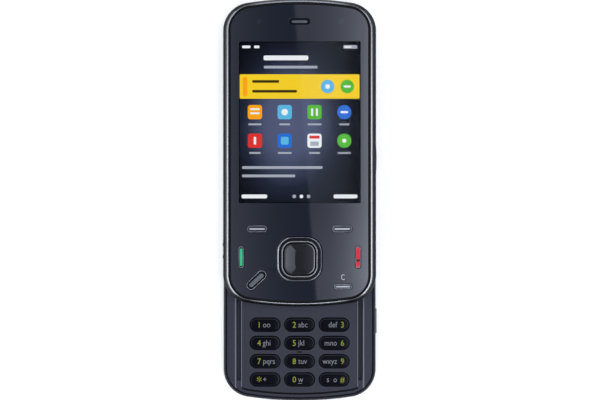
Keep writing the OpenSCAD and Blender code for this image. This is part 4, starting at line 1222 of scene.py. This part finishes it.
def face_eyes():
    """Small camera and light sensor that show dimly behind the pane's print."""
    for name, x, r in (("camera_eye", 14.2, 1.0), ("sensor_eye", -13.6, 0.75)):
        fresh()
        bpy.ops.mesh.primitive_cylinder_add(vertices=40, radius=r * MM, depth=0.02 * MM)
        eye = bpy.context.object
        eye.location = (0, 0, (PANE_TOP + 0.008) * MM)
        apply_place(eye)
        shape_top(eye, [(0.12, 0.0), (r * 0.45, 0.0)])
        paint(eye, [EYE_TINT])
        finished(place(eye, x, EAR_Y), name, "screen_half", "glass")


# Solids that keep their shape: node, piece, finish, slot, width of the rounded edges
ROUNDED = [
    ("camera_key", "camera_button", SIDE_GREY, "side_key", 0.12),
    ("volume_key", "volume_rocker", SIDE_GREY, "side_key", 0.12),
    ("power_key", "power_button", SIDE_BLACK, "side_key", 0.12),
    ("keylock_slider", "keylock_knob", KNOB_BLACK, "side_key", 0.06),
    ("battery_cover", "back_cover", COVER_BLACK, "cover", 0.12),
    ("kickstand", "stand", STAND_METAL, "bezel", 0.12),
    ("lens_cover", "lens_shutter", SIDE_BLACK, "side_key", 0.08),
    ("speaker_grilles", "speaker_bars", MESH_BLACK, "side_key", 0.04),
    ("headset_socket", "headset_jack", MODULE, "module", 0.06),
    ("slide_plate", "rear_plate", REAR_PAINT, "rear_plate", 0.1),
]


def solid_pieces():
    """CAD shapes that stay as they are, with their edges rounded."""
    bodies = frame["record"]["behaviour"]["bodies"]
    body_of = {node: body for body, nodes in bodies.items() for node in nodes}
    for node, name, finish, slot, width in ROUNDED:
        obj = from_solid(node, name)
        soften(obj, width, 45)
        paint(obj, [finish])
        finished(obj, name, body_of[node], slot, node)


earpiece()
face_eyes()
solid_pieces()

# ---------------------------------------------------------------- studio


def sheet(name, w, l, z, finish, in_view):
    """A flat sheet of the studio; its sizes and height are in metres."""
    fresh()
    bpy.ops.mesh.primitive_plane_add(size=1, location=(0, 0, z))
    obj = bpy.context.object
    obj.name = name
    obj.scale = (w, l, 1)
    apply_place(obj)
    obj.data.materials.append(finish)
    obj.visible_camera = in_view


def shade(pen, mask, a, b):
    """One shader where the mask is nought, the other where it is one."""
    return pen.node("MixShader", {}, {0: mask, 1: a, 2: b})


def pale_floor():
    """Stays white to the camera, keeps the shadow and lets light to what lies on it."""
    made, pen = start("pale_floor")
    contact = 0.006
    greys = blend(pen, noise(pen, 40, 2), (0.86, 0.86, 0.86, 1), (0.9, 0.9, 0.9, 1))
    cloth = pen.node("BsdfDiffuse", {}, {"Color": greys})
    bright = pen.node("Emission", {}, {"Color": (1, 1, 1, 1), "Strength": 0.42})
    lifted = pen.node("AddShader", {}, {0: cloth, 1: bright})
    camera_ray = pen.node("LightPath", out="Is Camera Ray")
    through_glass = camera_ray.beside("Is Transmission Ray")
    seen = camera_ray.larger(through_glass).larger(camera_ray.beside("Is Glossy Ray"))
    close = (camera_ray.beside("Ray Length") < contact) * (1 - camera_ray)
    hidden = pen.node("NewGeometry", out="Backfacing").larger(close)
    front = shade(pen, seen, cloth, lifted)
    whole = shade(pen, hidden, front, pen.node("BsdfTransparent"))
    pen.node("OutputMaterial", {}, {"Surface": whole})
    return made


def sky():
    """Studio all round: bright flanks, dim overhead, white where the camera looks."""
    world = bpy.data.worlds.new("studio")
    bpy.context.scene.world = world
    world.use_nodes = True
    world.node_tree.nodes.clear()
    pen = Sock(world.node_tree)
    x, y, z = axes(pen, pen.node("TexCoord", out="Generated"))
    by_height = (z * 0.5 + 0.5).ramp(
        (0.0, (1.2, 1.2, 1.22, 1)), (0.4, (1.0, 1.0, 1.02, 1)), (0.5, (0.75, 0.75, 0.77, 1)),
        (0.65, (1.0, 1.0, 1.02, 1)), (0.93, (1.0, 1.0, 1.03, 1)), (0.975, (0.36, 0.37, 0.4, 1)),
        (1.0, (0.12, 0.13, 0.15, 1)))
    round_about = x * x * 0.4 + (0.68 - x * 0.34 - y * 0.44)
    studio = pen.node("Background", {}, {"Color": by_height, "Strength": round_about})
    white = pen.node("Background", {}, {"Color": (1, 1, 1, 1), "Strength": 1.0})
    camera_ray = pen.node("LightPath", out="Is Camera Ray")
    pen.node("OutputWorld", {}, {"Surface": shade(pen, camera_ray, studio, white)})


def card_glow():
    """Bright on the right of a slanting edge, dim on its left; the face mirrors both."""
    made, pen = start("card_glow")
    slant, edge_x, edge_half = 0.075, 0.00844, 0.001
    right_w, left_w = 0.0436, 0.061
    x, y, _ = axes(pen)
    across = x + y * slant - edge_x
    far = y.fade(0.005, 0.16, 1.0, 0.42)
    near = y.fade(0.01, -0.042, 1.0, 1.5)
    right = across.larger(0.0) / right_w
    left = across.smaller(0.0) / left_w
    bright = ((right ** 2.3) * far * 2.5 + 0.88).smaller(4.5) * near
    dim = (left * left * 0.65 + 0.24).smaller(1.1)
    edge = across.fade(-edge_half, edge_half)
    level = edge * bright + (1 - edge) * dim
    light = pen.node("Emission", {}, {"Color": (0.93, 0.99, 1.15, 1), "Strength": level})
    pen.node("OutputMaterial", {}, {"Surface": light})
    return made


def camera():
    """Straight above, at the distance and field of the photograph."""
    data = bpy.data.cameras.new("camera")
    data.lens, data.sensor_width = 200, 36
    data.clip_start, data.clip_end = 0.05, 20
    cam = bpy.data.objects.new("camera", data)
    cam.location = (0.00013, 0.0161, 1.134)
    bpy.context.scene.collection.objects.link(cam)
    bpy.context.scene.camera = cam


sheet("floor", 6, 6, -0.0002, pale_floor(), in_view=True)
sky()
sheet("light_card", 1.0, 0.95, 1.5, card_glow(), in_view=False)
camera()
bpy.context.scene.view_settings.view_transform = "Standard"
fresh()
